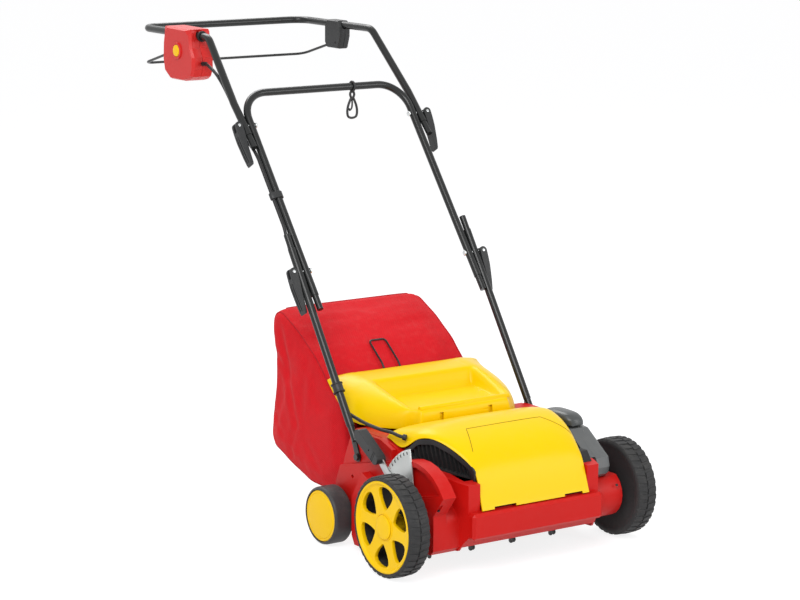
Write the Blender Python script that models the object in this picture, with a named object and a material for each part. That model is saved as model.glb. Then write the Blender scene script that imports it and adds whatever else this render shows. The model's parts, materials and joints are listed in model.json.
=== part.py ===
# Electric lawn scarifier: chassis, drive, wheels, folding handle and collecting bag.
# Every y below is measured back from the front wheel axle; +X is the machine's right.

import bpy
import bmesh
import math
from mathutils import Matrix, Vector

# Clearances
GAP = 0.0003
FREE = 0.0005

# Overall layout, front axle at y = 0
FRONT_OVERHANG = 0.104
WORK_HALF = 0.165
WHEEL_ROOM = 0.027

# Front wheels
FRONT_R = 0.100
FRONT_WIDTH = 0.048
FRONT_RIM_R = 0.090
RIM_WALL = 0.005
WEB_THICK = 0.006
HUB_R = 0.0225
HUB_CAP_R = 0.024
STUB_R = 0.006
WINDOWS = 6
DISC_RECESS = 0.004
DISC_THICK = 0.003
FRONT_SIDES = 32

# Rear wheels
REAR_R = 0.0586
REAR_Y = 0.261
REAR_ROOM = 0.008
REAR_WIDTH = 0.0445
REAR_FACE_R = 0.0523
REAR_HUB_R = 0.038
REAR_AXLE_R = 0.006
REAR_SIDES = 28

# Crank axle and height lever
CRANK_Y = -0.0275
CRANK_Z = 0.110
CRANK_R = 0.010
CRANK_ARM = 0.008
LEVER_ANGLE = math.radians(32.2)
LEVER_R = 0.136
LEVER_THICK = 0.003
LEVER_WIDTH = 0.017
GRIP_START = (0.108, 0.2035)
GRIP_END = (0.168, 0.2395)
GRIP_WIDTH = 0.024
GRIP_THICK = 0.021
SECTOR_THICK = 0.0025
SECTOR_R = 0.138
SECTOR_FROM = math.radians(31)
SECTOR_TO = math.radians(74)
NOTCHES = 8
NOTCH_STEP = math.radians(5.3)
NOTCH_DEPTH = 0.009
NOTCH_WIDTH = 0.003

# Blade drum
SHAFT_Y = 0.0535
SHAFT_Z = 0.066
SHAFT_R = 0.009
BLADE_R = 0.060
BLADE_THICK = 0.002
BLADE_PITCH = 0.025
BLADE_COUNT = 15
BLADE_PHASES = 4
SPACER_R = 0.016
TUNNEL_R = 0.070
BEARING_R = 0.013
BEARING_WIDTH = 0.010
WALL = 0.004

# Motor and belt drive
MOTOR_Y = 0.0475
MOTOR_Z = 0.200
MOTOR_R = 0.040
MOTOR_HALF = 0.105
MOTOR_SHAFT_R = 0.005
FAN_R = 0.034
BELT_X = WORK_HALF + 0.026
BELT_WIDTH = 0.009
BELT_THICK = 0.004
MOTOR_PULLEY_R = 0.018
BLADE_PULLEY_R = 0.030

# Chassis
CORE_FRONT = -0.086
DECK_TOP = 0.236
BAY_FLOOR = 0.141
CORE_HALF = WORK_HALF + 0.041
BAY_HALF = WORK_HALF - 0.015
SIDE_HALF = WORK_HALF + 0.057
UPPER_HALF = WORK_HALF + 0.051
SKIRT_HALF = WORK_HALF + 0.075
SKIRT_BOTTOM = 0.012
CORE_BOTTOM = 0.047
SIDE_POCKET_OUT = CORE_HALF - WALL
CHASSIS_BACK = 0.2815
BUMPER_HALF = WORK_HALF - 0.007
BUMPER_LOW = 0.074
BUMPER_HIGH = 0.126
FENDER_R = 0.119
FENDER_IN = WORK_HALF + 0.031
FENDER_OUT = WORK_HALF + 0.061
TRACK_OUT = FENDER_OUT + WHEEL_ROOM + FRONT_WIDTH
REAR_OUT = SIDE_HALF + REAR_ROOM + REAR_WIDTH
GRIP_IN = FENDER_OUT - 0.001
FENDER_LIP = 0.010
BOSS_R = 0.048
BOSS_Y = -0.0185
BOSS_Z = 0.098
BOSS_OUT = FENDER_OUT - FREE
BOSS_OUT_RIGHT = FENDER_OUT + 0.011
FENDER_FRONT = BOSS_Y - BOSS_R
BELT_COVER_LOW = 0.1395

# Hood, covers and flap
SHELL = 0.0025
HOOD_FRONT_HALF = WORK_HALF - 0.035
HOOD_BACK = 0.133
GRILLE_THICK = 0.003
GRILLE_SLOTS = 9
COVER_IN = WORK_HALF + 0.0115
COVER_OUT = WORK_HALF + 0.047
FLAP_WALL = 0.003
FLAP_RAIL = WORK_HALF - 0.053
HINGE_Y = 0.152
HINGE_Z = 0.262
HINGE_ROD_R = 0.003
HINGE_ROD_HALF = WORK_HALF - 0.059
KNUCKLE_R = 0.0065
LUG_X = FLAP_RAIL - 0.052
LUG_WIDTH = 0.008
LUG_GAP = LUG_WIDTH + 0.002
KNUCKLE_X = FLAP_RAIL - 0.017
KNUCKLE_WIDTH = 0.018

# Handle tubes
TUBE_R = 0.008
TUBE_WALL = 0.0012
TUBE_SIDES = 10
OUTER_X = UPPER_HALF + 0.004
INNER_X = OUTER_X - 2 * TUBE_R - FREE
RETURN_X = OUTER_X - 0.013
LOWER_PIN = (0.4211, 0.5252)
LOWER_ANGLE = math.radians(56)
LOWER_TOP = 0.052
LOWER_FOOT_Z = 0.2425
FOOT_THICK = 0.003
FOOT_BOLT = (0.2068, 0.184)
FOOT_END_R = 0.0095
FOOT_BOLT_R = 0.004
FOOT_HEAD_R = 0.0075
FOOT_HEAD = 0.005
MIDDLE_ANGLE = math.radians(52.5)
MIDDLE_REACH = 0.346
MIDDLE_TOP = MIDDLE_REACH + 0.0775
MIDDLE_STUB = 0.057
MIDDLE_BEND = 0.062
UPPER_ANGLE = math.radians(45.5)
UPPER_STUB = 0.025
UPPER_REACH = 0.2388
RETURN_LENGTH = 0.285
UPPER_BEND = 0.034

# Cam clamps
BOLT_R = 0.003
BOLT_HEAD_R = 0.006
BOLT_HEAD = 0.004
CAM_LOWER_ANGLE = math.radians(65)
CAM_UPPER_ANGLE = math.radians(60)
CAM_OFFSET = 0.017
CAM_LENGTH = 0.090
CAM_WIDTH = 0.019
CAM_PIN_R = 0.0022

# Switch box, bail and cable fittings
BAR_START_Y = (LOWER_PIN[0] + MIDDLE_REACH * math.cos(MIDDLE_ANGLE)
               + UPPER_REACH * math.cos(UPPER_ANGLE))
BAR_Z = (LOWER_PIN[1] + MIDDLE_REACH * math.sin(MIDDLE_ANGLE)
         + UPPER_REACH * math.sin(UPPER_ANGLE))
BOX_LENGTH = 0.1205
BOX_HEIGHT = 0.112
BOX_RISE = 0.015
BOX_HALF = 0.025
BOX_FRONT = BAR_START_Y + 0.033
BOX_BACK = BOX_FRONT + BOX_LENGTH
BOX_HIGH = BAR_Z + BOX_RISE
BOX_LOW = BOX_HIGH - BOX_HEIGHT
BOX_OUT = RETURN_X + BOX_HALF
BOX_IN = RETURN_X - BOX_HALF
BUTTON_Y = BOX_FRONT + 0.057
BUTTON_Z = BAR_Z - 0.034
BUTTON_R = 0.0125
BUTTON_PROUD = 0.005
BUTTON_DEPTH = 0.014
BUTTON_TRAVEL = 0.004
BAIL_Y = BOX_BACK - 0.009
BAIL_Z = BAR_Z - 0.040
BAIL_WIRE_R = 0.0025
BAIL_REACH = 0.140
BAIL_REST = math.radians(-15.7)
BAIL_SWING = math.radians(26)
BAIL_STUB = 0.0075
BEARING_BLOCK = (BAIL_Y - 0.0485, BAIL_Y + 0.0335, BAR_Z - 0.056, BAR_Z + 0.012)
BEARING_BLOCK_HALF = 0.0135
HOOK_X = 0.078
LEAD_R = 0.0035
LEAD_X = OUTER_X - 0.0038
LEAD_PAST_TUBE = 0.062
CLIP_REACH = 0.177
CLAMP_Z = 0.311
GROMMET_R = 0.0062
GROMMET_LENGTH = 0.014

# Collecting bag
BAG_HALF = WORK_HALF + 0.011
BAG_WALL = 0.003
BAG_FRAME_R = 0.004
BAG_FRAME_HALF = WORK_HALF + 0.001
BAG_MOUTH_LOW = (0.2858, 0.109)
BAG_MOUTH_HIGH = (0.3203, 0.2820)
BAG_WIRE_R = 0.002
BAG_WIRE_X = -0.020
BAG_WIRE_HALF = 0.020

# Colours
RED = (0.78, 0.015, 0.02)
YELLOW = (1.0, 0.72, 0.0)
BLACK = (0.015, 0.015, 0.017)
DARK_GREY = (0.05, 0.055, 0.055)
STEEL = (0.55, 0.56, 0.55)
RUBBER = (0.02, 0.02, 0.02)
FABRIC_RED = (0.72, 0.01, 0.03)


def clear_scene():
    for obj in list(bpy.data.objects):
        bpy.data.objects.remove(obj, do_unlink=True)


def material(name, colour, roughness, metallic=0.0):
    mat = bpy.data.materials.new(name)
    mat.use_nodes = True
    shader = mat.node_tree.nodes["Principled BSDF"]
    shader.inputs["Base Color"].default_value = (*colour, 1.0)
    shader.inputs["Roughness"].default_value = roughness
    shader.inputs["Metallic"].default_value = metallic
    mat.diffuse_color = (*colour, 1.0)
    return mat


def steel(name):
    return material(name, STEEL, 0.35, 1.0)


# Points in the side plane, measured back from the front axle and up from the ground

def polar(centre, radius, angle):
    return (centre[0] + radius * math.cos(angle), centre[1] + radius * math.sin(angle))


def arc(centre, radius, start, end, steps):
    return [polar(centre, radius, start + (end - start) * i / steps) for i in range(steps + 1)]


def along(point, angle, distance):
    return polar(point, distance, angle)


def interpolate(table, y):
    """Value at y in a list of (y, value) pairs."""
    for (y0, v0), (y1, v1) in zip(table, table[1:]):
        if y <= y1:
            return v0 + (v1 - v0) * (y - y0) / (y1 - y0)
    return table[-1][1]


# Object makers

def new_object(name, mesh, mat):
    obj = bpy.data.objects.new(name, mesh)
    bpy.context.scene.collection.objects.link(obj)
    obj.parent = datum
    if mat:
        mesh.materials.append(mat)
    return obj


def from_faces(name, verts, faces, mat, pivot=(0, 0, 0)):
    """A mesh object whose origin is at pivot, with faces turned outwards."""
    mesh = bpy.data.meshes.new(name)
    shift = Vector(pivot)
    mesh.from_pydata([Vector(v) - shift for v in verts], [], faces)
    bm = bmesh.new()
    bm.from_mesh(mesh)
    bmesh.ops.recalc_face_normals(bm, faces=bm.faces)
    bm.to_mesh(mesh)
    bm.free()
    obj = new_object(name, mesh, mat)
    obj.location = pivot
    return obj


def loft(name, rings, mat, pivot=(0, 0, 0), closed=False):
    """Skin between rings of equal length, with flat ends unless the loft closes on itself."""
    size = len(rings[0])
    verts = [p for ring in rings for p in ring]
    faces = []
    spans = len(rings) if closed else len(rings) - 1
    for i in range(spans):
        a = i * size
        b = ((i + 1) % len(rings)) * size
        for j in range(size):
            k = (j + 1) % size
            faces.append((a + j, a + k, b + k, b + j))
    if not closed:
        faces.append(tuple(range(size)))
        faces.append(tuple(range(len(verts) - size, len(verts))))
    return from_faces(name, verts, faces, mat, pivot)


def prism_x(name, outline, x0, x1, mat=None, pivot=(0, 0, 0)):
    """A (y, z) outline carried along X."""
    rings = [[(x, y, z) for y, z in outline] for x in (x0, x1)]
    return loft(name, rings, mat, pivot)


def box(name, x0, x1, y0, y1, z0, z1, mat=None):
    return prism_x(name, [(y0, z0), (y1, z0), (y1, z1), (y0, z1)], x0, x1, mat)


def cylinder_x(name, centre, radius, x0, x1, mat=None, sides=24, pivot=(0, 0, 0)):
    return prism_x(name, arc(centre, radius, 0, 2 * math.pi, sides)[:-1], x0, x1, mat, pivot)


def rod(name, start, end, radius, mat=None, sides=12, pivot=(0, 0, 0)):
    """A round bar between two points."""
    start, end = Vector(start), Vector(end)
    turn = (end - start).to_track_quat("Z", "Y")
    ring = [turn @ Vector((radius * math.cos(a), radius * math.sin(a), 0))
            for a in [2 * math.pi * i / sides for i in range(sides)]]
    return loft(name, [[start + r for r in ring], [end + r for r in ring]], mat, pivot)


def turned(name, profile, centre, mat, sides=36, side=1, pivot=(0, 0, 0)):
    """A closed (x, r) profile turned about the X line through centre; side -1 mirrors it."""
    rings = []
    for i in range(sides):
        a = 2 * math.pi * i / sides
        rings.append([(side * x, centre[0] + r * math.cos(a), centre[1] + r * math.sin(a))
                      for x, r in profile])
    return loft(name, rings, mat, pivot, closed=True)


def smooth(obj, angle=40):
    obj.data.shade_smooth()
    obj.data.set_sharp_from_angle(angle=math.radians(angle))
    return obj


def guide(obj):
    """Mark an object that only shapes another one."""
    obj.hide_render = True
    obj.display_type = "WIRE"
    return obj


def combine(obj, other, operation):
    mod = obj.modifiers.new(operation.lower(), "BOOLEAN")
    mod.operation = operation
    mod.object = guide(other)
    return obj


def cut(obj, *cutters):
    for cutter in cutters:
        combine(obj, cutter, "DIFFERENCE")
    return obj


def join(obj, *others):
    for other in others:
        combine(obj, other, "UNION")
    return obj


def rounded(points, radius, steps=4):
    """A polyline with its inner corners turned into arcs of a radius."""
    pts = [Vector(p) for p in points]
    path = [pts[0]]
    for before, corner, after in zip(pts, pts[1:], pts[2:]):
        into = (corner - before).normalized()
        out = (after - corner).normalized()
        bend = into.angle(out)
        reach = radius * math.tan(bend / 2)
        start = corner - into * reach
        middle = corner + (out - into).normalized() * (radius / math.cos(bend / 2))
        axis = into.cross(out).normalized()
        for i in range(steps + 1):
            path.append(middle + Matrix.Rotation(bend * i / steps, 3, axis) @ (start - middle))
    path.append(pts[-1])
    return path


def tube_rings(path, radius, sides):
    """Rings square to a path, carried along it without twist."""
    tangents = []
    for i in range(len(path)):
        before = path[max(i - 1, 0)]
        after = path[min(i + 1, len(path) - 1)]
        into = (path[i] - before).normalized() if i else (after - path[i]).normalized()
        out = (after - path[i]).normalized() if i < len(path) - 1 else into
        tangents.append(((into + out).normalized(), into.angle(out, 0)))
    across = tangents[0][0].orthogonal().normalized()
    rings = []
    for point, (tangent, bend) in zip(path, tangents):
        across = (across - tangent * across.dot(tangent)).normalized()
        other = tangent.cross(across)
        rings.append([point + radius * (across * math.cos(a) + other * math.sin(a))
                      for a in [2 * math.pi * i / sides for i in range(sides)]])
    return rings


def pipe(name, path, radius, mat, wall=None, sides=12, pivot=(0, 0, 0)):
    """A bar along a path, or a hollow tube open at both ends if a wall is given."""
    outer = tube_rings(path, radius, sides)
    if wall is None:
        return smooth(loft(name, outer, mat, pivot))
    inner = tube_rings(path, radius - wall, sides)
    return smooth(loft(name, outer + inner[::-1], mat, pivot, closed=True))


def cord(name, points, mat):
    """A flexible lead along a smooth curve through its points."""
    curve = bpy.data.curves.new(name, "CURVE")
    curve.dimensions = "3D"
    spline = curve.splines.new("POLY")
    path = smooth_path([Vector(p) for p in points], LEAD_R * 5)
    spline.points.add(len(path) - 1)
    for slot, p in zip(spline.points, path):
        slot.co = (*p, 1)
    curve.bevel_depth = LEAD_R
    curve.bevel_resolution = 2
    curve.use_fill_caps = True
    obj = bpy.data.objects.new(name, curve)
    bpy.context.scene.collection.objects.link(obj)
    obj.parent = datum
    curve.materials.append(mat)
    return obj


def smooth_path(points, spacing):
    """Points about a spacing apart on a smooth curve through the given ones."""
    path = []
    ends = [points[0] * 2 - points[1]] + points + [points[-1] * 2 - points[-2]]
    for p0, p1, p2, p3 in zip(ends, ends[1:], ends[2:], ends[3:]):
        count = max(1, round((p2 - p1).length / spacing))
        for i in range(count):
            t = i / count
            path.append(0.5 * (2 * p1 + (p2 - p0) * t + (2 * p0 - 5 * p1 + 4 * p2 - p3) * t * t
                               + (3 * p1 - p0 - 3 * p2 + p3) * t ** 3))
    path.append(points[-1])
    return path


# Chassis

def deck_rim(y):
    """Height of the chassis rim under the hood."""
    return interpolate([(CORE_FRONT, 0.180), (-0.020, 0.187), (0.045, 0.203), (0.100, 0.228),
                        (0.140, DECK_TOP), (0.2315, DECK_TOP)], y)


def section_loft(name, stations):
    """Rectangles square to Y: (y, half width, low z, high z)."""
    rings = [[(-w, y, low), (w, y, low), (w, y, high), (-w, y, high)]
             for y, w, low, high in stations]
    return loft(name, rings, None)


def left_fender():
    outline = arc((0, FRONT_R), FENDER_R, math.radians(-26), math.radians(146), 14)
    outline = [(y, max(z, CORE_BOTTOM)) for y, z in outline]
    outline += [(-0.084, 0.148), (FENDER_FRONT, 0.126), (FENDER_FRONT, 0.056),
                (-0.057, CORE_BOTTOM)]
    return prism_x("fender_left", outline, -FENDER_IN, -FENDER_OUT)


def right_fender():
    """Only the stretch behind the boss, up to the belt cover, which closes the belt chamber."""
    back = arc((0, FRONT_R), FENDER_R, math.radians(-26), math.radians(19), 5)
    outline = [(y, max(z, CORE_BOTTOM)) for y, z in back]
    outline += [(back[-1][0], BELT_COVER_LOW - GAP), (BOSS_Y, BELT_COVER_LOW - GAP),
                (BOSS_Y, CORE_BOTTOM)]
    return prism_x("fender_right", outline, FENDER_IN, FENDER_OUT)


def chute_outline():
    drum = (SHAFT_Y, SHAFT_Z)
    return (arc(drum, TUNNEL_R, math.radians(180), math.radians(45), 7)
            + [(0.117, 0.150), (0.152, DECK_TOP - 0.008), (0.158, 0.260), (0.300, 0.260),
               (0.300, 0.1225), (CHASSIS_BACK, 0.1175), (0.150, 0.052), (0.1275, 0.030),
               (0.1275, -0.01), (SHAFT_Y - TUNNEL_R, -0.01)])


def pocket_outline():
    drum = (SHAFT_Y, SHAFT_Z)
    return (arc(drum, TUNNEL_R + WALL, math.radians(115), math.radians(180), 4)
            + [(SHAFT_Y - TUNNEL_R - WALL, -0.01), (-0.058, -0.01), (-0.072, 0.078),
               (-0.072, 0.118), (-0.050, 0.136)])


def chassis_housing(mat):
    body = section_loft("chassis_housing", [
        (CORE_FRONT, BUMPER_HALF, 0.076, 0.180),
        (-0.062, WORK_HALF + 0.001, CORE_BOTTOM, 0.1824),
        (-0.020, WORK_HALF + 0.008, 0.045, 0.187),
        (0.045, CORE_HALF - 0.008, 0.045, 0.203),
        (0.100, CORE_HALF, 0.045, 0.228),
        (0.140, CORE_HALF, 0.045, DECK_TOP),
        (0.2315, CORE_HALF, 0.045, DECK_TOP),
        (0.2655, CORE_HALF, 0.060, 0.156),
        (CHASSIS_BACK, CORE_HALF, 0.100, 0.118)])
    body.data.materials.append(mat)
    sides = section_loft("chassis_sides", [
        (0.085, SIDE_HALF, 0.022, 0.2015),
        (0.1305, SIDE_HALF, 0.020, 0.190),
        (0.235, SIDE_HALF, 0.030, 0.164),
        (0.2655, SIDE_HALF, 0.040, 0.156),
        (CHASSIS_BACK, SIDE_HALF, 0.075, 0.118)])
    shoulder = section_loft("chassis_shoulder", [
        (0.090, UPPER_HALF, 0.150, 0.222),
        (0.130, UPPER_HALF, 0.150, DECK_TOP - 0.001),
        (0.2305, UPPER_HALF, 0.140, DECK_TOP - 0.001),
        (0.262, UPPER_HALF, 0.120, 0.162)])
    skirt = prism_x("chassis_skirt", [(0.104, SKIRT_BOTTOM), (0.186, SKIRT_BOTTOM), (0.196, 0.030),
                                      (0.196, 0.110), (0.160, 0.165), (0.118, 0.150),
                                      (0.104, 0.120)], -SKIRT_HALF, SKIRT_HALF)
    bumper = box("chassis_bumper", -BUMPER_HALF, BUMPER_HALF, -FRONT_OVERHANG, CORE_FRONT + 0.02,
                 BUMPER_LOW, BUMPER_HIGH)
    bevel = bumper.modifiers.new("edge", "BEVEL")
    bevel.width = 0.005
    bevel.segments = 1
    join(body, sides, shoulder, skirt, bumper)
    join(body, left_fender(), right_fender(),
         prism_x("boss_left", arc((BOSS_Y, BOSS_Z), BOSS_R, 0, math.pi, 9)
                 + [(FENDER_FRONT, 0.056), (-0.057, CORE_BOTTOM), (BOSS_Y + BOSS_R, CORE_BOTTOM)],
                 -BAY_HALF, -BOSS_OUT),
         cylinder_x("boss_right", (BOSS_Y, BOSS_Z), BOSS_R, BAY_HALF, BOSS_OUT_RIGHT, sides=20))
    cut(body, prism_x("fender_recess", arc((0, FRONT_R), FENDER_R - FENDER_LIP,
                                           math.radians(15), math.radians(140), 8) + [(0.0, 0.150)],
                      -FENDER_OUT - 0.01, -FENDER_OUT + 0.008))
    for x in (-LUG_X, LUG_X):
        lug = prism_x(f"hinge_lug_{'left' if x < 0 else 'right'}",
                      [(HINGE_Y - 0.004, DECK_TOP - 0.006), (HINGE_Y + 0.006, DECK_TOP - 0.006)]
                      + arc((HINGE_Y + 0.001, HINGE_Z), 0.005, 0, math.pi, 4),
                      x - LUG_WIDTH / 2, x + LUG_WIDTH / 2)
        join(body, lug)
    cut(body,
        prism_x("chute_cut", chute_outline(), -WORK_HALF, WORK_HALF),
        prism_x("pocket_cut", pocket_outline(), -WORK_HALF + 0.005, WORK_HALF - 0.005),
        prism_x("bay_cut", [(-0.060, BAY_FLOOR), (0.095, BAY_FLOOR), (0.126, 0.225),
                            (0.126, 0.300), (-0.060, 0.300)], -BAY_HALF, BAY_HALF),
        box("hood_slot", -HOOD_FRONT_HALF - FREE, HOOD_FRONT_HALF + FREE, -0.120, -0.055,
            BUMPER_HIGH + 0.0015, 0.300),
        prism_x("under_chute_cut", [(0.1355, -0.01), (0.1355, 0.026), (0.154, 0.041),
                                    (0.262, 0.094), (0.300, 0.094), (0.300, -0.01)],
                -CORE_HALF + 0.006, CORE_HALF - 0.006),
        box("side_pocket_left", -SIDE_POCKET_OUT, -WORK_HALF - WALL, 0.110, 0.228, -0.01, 0.212),
        box("side_pocket_right", WORK_HALF + WALL, SIDE_POCKET_OUT, 0.110, 0.228, -0.01, 0.212),
        box("belt_chamber", COVER_IN - 0.0005, BELT_X + 0.0125, 0.002, 0.105, 0.022,
            BELT_COVER_LOW),
        box("belt_cover_seat", COVER_IN - FREE, SKIRT_HALF + 0.010, -0.090, 0.1125,
            BELT_COVER_LOW - FREE, 0.300))
    bore = CRANK_R + GAP
    cut(body,
        cylinder_x("crank_bore", (CRANK_Y, CRANK_Z), bore, -TRACK_OUT, TRACK_OUT, sides=20),
        cylinder_x("motor_shaft_bore", (MOTOR_Y, MOTOR_Z), MOTOR_SHAFT_R + 0.002,
                   BAY_HALF - 0.010, COVER_IN + 0.020, sides=16),
        cylinder_x("rear_axle_bore", (REAR_Y, REAR_R), REAR_AXLE_R + GAP, -REAR_OUT, REAR_OUT,
                   sides=16),
        cylinder_x("bearing_bore", (SHAFT_Y, SHAFT_Z), BEARING_R + GAP,
                   -WORK_HALF - BEARING_WIDTH - 0.0005, COVER_IN + 0.005, sides=20),
        cylinder_x("shaft_end_bore", (SHAFT_Y, SHAFT_Z), SHAFT_R + 0.001, -WORK_HALF - 0.019,
                   -BAY_HALF, sides=16),
        cylinder_x("hinge_bore", (HINGE_Y, HINGE_Z), HINGE_ROD_R + GAP, -FLAP_RAIL, FLAP_RAIL,
                   sides=12),
        cylinder_x("foot_bore_left", FOOT_BOLT, FOOT_BOLT_R + GAP, -SKIRT_HALF, -UPPER_HALF + 0.010,
                   sides=12),
        cylinder_x("foot_bore_right", FOOT_BOLT, FOOT_BOLT_R + GAP, UPPER_HALF - 0.010, SKIRT_HALF,
                   sides=12))
    return body


# Hood, grille, covers and flap

HOOD_STATIONS = [
    # y, crown z, left half width beyond the working one, edge z left, the same right, edge z right
    (-0.0940, BUMPER_HIGH + 0.0022, -0.0350, BUMPER_HIGH + 0.0022, -0.0350, BUMPER_HIGH + 0.0022),
    (-0.0820, 0.165, -0.0360, 0.165, -0.0360, 0.165),
    (-0.0690, 0.2025, -0.0370, 0.2025, -0.0370, 0.2025),
    (-0.0450, 0.2320, -0.0270, 0.2205, -0.0270, 0.2060),
    (-0.0150, 0.2510, -0.0130, 0.2405, -0.0180, 0.2220),
    (0.0160, 0.2635, 0.0070, 0.2565, -0.0130, 0.2370),
    (0.0450, 0.2700, 0.0230, 0.2525, -0.0100, 0.2460),
    (0.0640, 0.2705, 0.0310, 0.2325, -0.0080, 0.2500),
    (0.0850, 0.2680, 0.0350, 0.2240, -0.0080, 0.2500),
    (0.1150, 0.2610, 0.0350, 0.2362, -0.0080, 0.2470),
    (0.1280, 0.2560, 0.0350, 0.2375, -0.0080, 0.2430),
    (HOOD_BACK, 0.2510, 0.0330, 0.2375, -0.0090, 0.2400),
]


def hood_row(y, crown, beyond_l, edge_l, beyond_r, edge_r):
    """Points across the hood from its left edge over the crown to its right edge."""
    wide_l, wide_r = WORK_HALF + beyond_l, WORK_HALF + beyond_r
    row = []
    for u, drop in ((-1.0, 1.0), (-0.985, 0.62), (-0.93, 0.27), (-0.82, 0.08), (-0.5, 0.0)):
        row.append((u * wide_l, y, crown - drop * (crown - edge_l)))
    for u, drop in ((0.0, -0.02), (0.5, 0.0), (0.82, 0.08), (0.93, 0.27), (0.985, 0.62), (1.0, 1.0)):
        row.append((u * wide_r, y, crown - drop * (crown - edge_r)))
    return row


def shell(name, rows, thickness, mat):
    """A sheet through rows of points, thickened inwards."""
    size = len(rows[0])
    verts = [p for row in rows for p in row]
    faces = [(i * size + j, i * size + j + 1, (i + 1) * size + j + 1, (i + 1) * size + j)
             for i in range(len(rows) - 1) for j in range(size - 1)]
    mesh = bpy.data.meshes.new(name)
    mesh.from_pydata(verts, [], faces)
    obj = new_object(name, mesh, mat)
    solid = obj.modifiers.new("wall", "SOLIDIFY")
    solid.thickness = thickness
    solid.offset = -1
    return obj


def motor_cover(mat):
    rows = [hood_row(*station) for station in HOOD_STATIONS]
    back = HOOD_STATIONS[-1]
    rows.append([(x, HOOD_BACK + 0.001, min(z, DECK_TOP + 0.0018)) for x, y, z in hood_row(*back)])
    hood = shell("motor_cover", rows, SHELL, mat)
    start, end = grommet_line()
    cut(hood, rod("grommet_hole", start, end + (end - start), GROMMET_R - 0.0012 + GAP, sides=10))
    return smooth(hood, 35)


def air_grille(mat):
    """The louvred panel between the chassis rim and the hood's left arch."""
    table = [s for s in HOOD_STATIONS if -0.0690 <= s[0] <= 0.0640]
    low, high = [], []
    for y, crown, beyond, edge, beyond_r, edge_r in table:
        wide = WORK_HALF + beyond
        low.append((-wide + 0.0008, y, deck_rim(y) + GAP))
        high.append((-wide + 0.0008, y, edge - SHELL * (3.0 if y == table[0][0] else 1.0)))
    rings = []
    for a, b in zip(low, high):
        rings.append([a, b, (b[0] + GRILLE_THICK, b[1], b[2]), (a[0] + GRILLE_THICK, a[1], a[2])])
    grille = loft("air_grille", rings, mat)
    first, last = table[0][0] + 0.012, table[-1][0] - 0.012
    for i in range(GRILLE_SLOTS):
        y = first + (last - first) * i / (GRILLE_SLOTS - 1)
        top = interpolate([(s[0], s[3]) for s in table], y) - 0.007
        low_z = deck_rim(y) + 0.007
        if top - low_z > 0.006:
            cut(grille, box(f"grille_slot_{i}", -SKIRT_HALF, -FLAP_RAIL, y - 0.0028, y + 0.0028,
                             low_z, top))
    return grille


def belt_cover(mat):
    outline = [(-0.046, BELT_COVER_LOW), (-0.057, 0.148), (-0.061, 0.162), (-0.056, 0.181),
               (0.0145, 0.2285), (0.060, 0.2325), (0.112, 0.2325), (0.112, BELT_COVER_LOW)]
    middle_y, middle_z = 0.03, 0.19
    rings = []
    for x, inset in ((COVER_IN, 0.0), (COVER_OUT - 0.010, 0.0), (COVER_OUT - 0.003, 0.03),
                     (COVER_OUT, 0.09)):
        ring = []
        for y, z in outline:
            lift = (middle_z - z) * inset if z > BELT_COVER_LOW else 0.0
            ring.append((x, y + (middle_y - y) * inset, z + lift))
        rings.append(ring)
    cover = loft("belt_cover", rings, mat)
    inner = [(-0.042, BELT_COVER_LOW - 0.01), (-0.053, 0.152), (-0.055, 0.162), (-0.051, 0.176),
             (0.016, 0.2240), (0.060, 0.2285), (0.108, 0.2285), (0.108, BELT_COVER_LOW - 0.01)]
    lip = [(-0.052, deck_rim(-0.052) + GAP), (-0.050, deck_rim(-0.050) + 0.001),
           (0.0145, 0.2285), (0.060, 0.2325), (0.112, 0.2325), (0.112, deck_rim(0.112) + GAP),
           (0.100, deck_rim(0.100) + GAP), (0.045, deck_rim(0.045) + GAP),
           (-0.020, deck_rim(-0.020) + GAP)]
    flange = prism_x("belt_cover_flange", lip, WORK_HALF - 0.006, COVER_IN + 0.001)
    cut(cover, prism_x("belt_cover_hollow", inner, COVER_IN - 0.01, COVER_OUT - 0.006))
    join(cover, flange)
    cut(cover, cylinder_x("belt_cover_shaft_hole", (MOTOR_Y, MOTOR_Z), MOTOR_SHAFT_R + 0.002,
                          BAY_HALF, COVER_IN + 0.010, sides=12))
    return cover


def motor_end_cap(mat):
    """The rounded bulge above the belt cover."""
    low = 0.2325 + GAP
    rings = []
    for beyond, scale in ((-0.006, 1.0), (0.025, 0.98), (0.038, 0.86), (0.0435, 0.55)):
        x = WORK_HALF + beyond
        half = 0.052 * (0.35 + 0.65 * scale)
        top = low + 0.0260 * scale
        centre = 0.066
        ring = [(x, centre - half, low), (x, centre - half * 0.97, low + (top - low) * 0.45)]
        ring += [(x, centre - half * 0.74, low + (top - low) * 0.86),
                 (x, centre - half * 0.40, top), (x, centre + half * 0.40, top),
                 (x, centre + half * 0.74, low + (top - low) * 0.86),
                 (x, centre + half * 0.97, low + (top - low) * 0.45), (x, centre + half, low)]
        rings.append(ring)
    return smooth(loft("motor_end_cap", rings, mat), 50)


FLAP_STATIONS = [
    # y, rim z, half width beyond the working one, edge z, floor z between the rails
    (0.1412, 0.2470, -0.0535, 0.2462, 0.2470),
    (0.1416, 0.2640, -0.0525, 0.2460, 0.2640),
    (0.1455, 0.2740, -0.0510, 0.2455, 0.2740),
    (0.1515, 0.2765, -0.0490, 0.2450, 0.2765),
    (0.1580, 0.2760, -0.0430, 0.2430, 0.2760),
    (0.1660, 0.2770, -0.0250, DECK_TOP + 0.002, 0.2690),
    (0.2485, 0.3000, 0.0340, DECK_TOP + 0.002, 0.2710),
    (0.3005, 0.3125, 0.0300, 0.2600, 0.3105),
    (0.3600, 0.3185, 0.0240, 0.3010, 0.3170),
    (0.3670, 0.3150, 0.0220, 0.3070, 0.3145),
]


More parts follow.
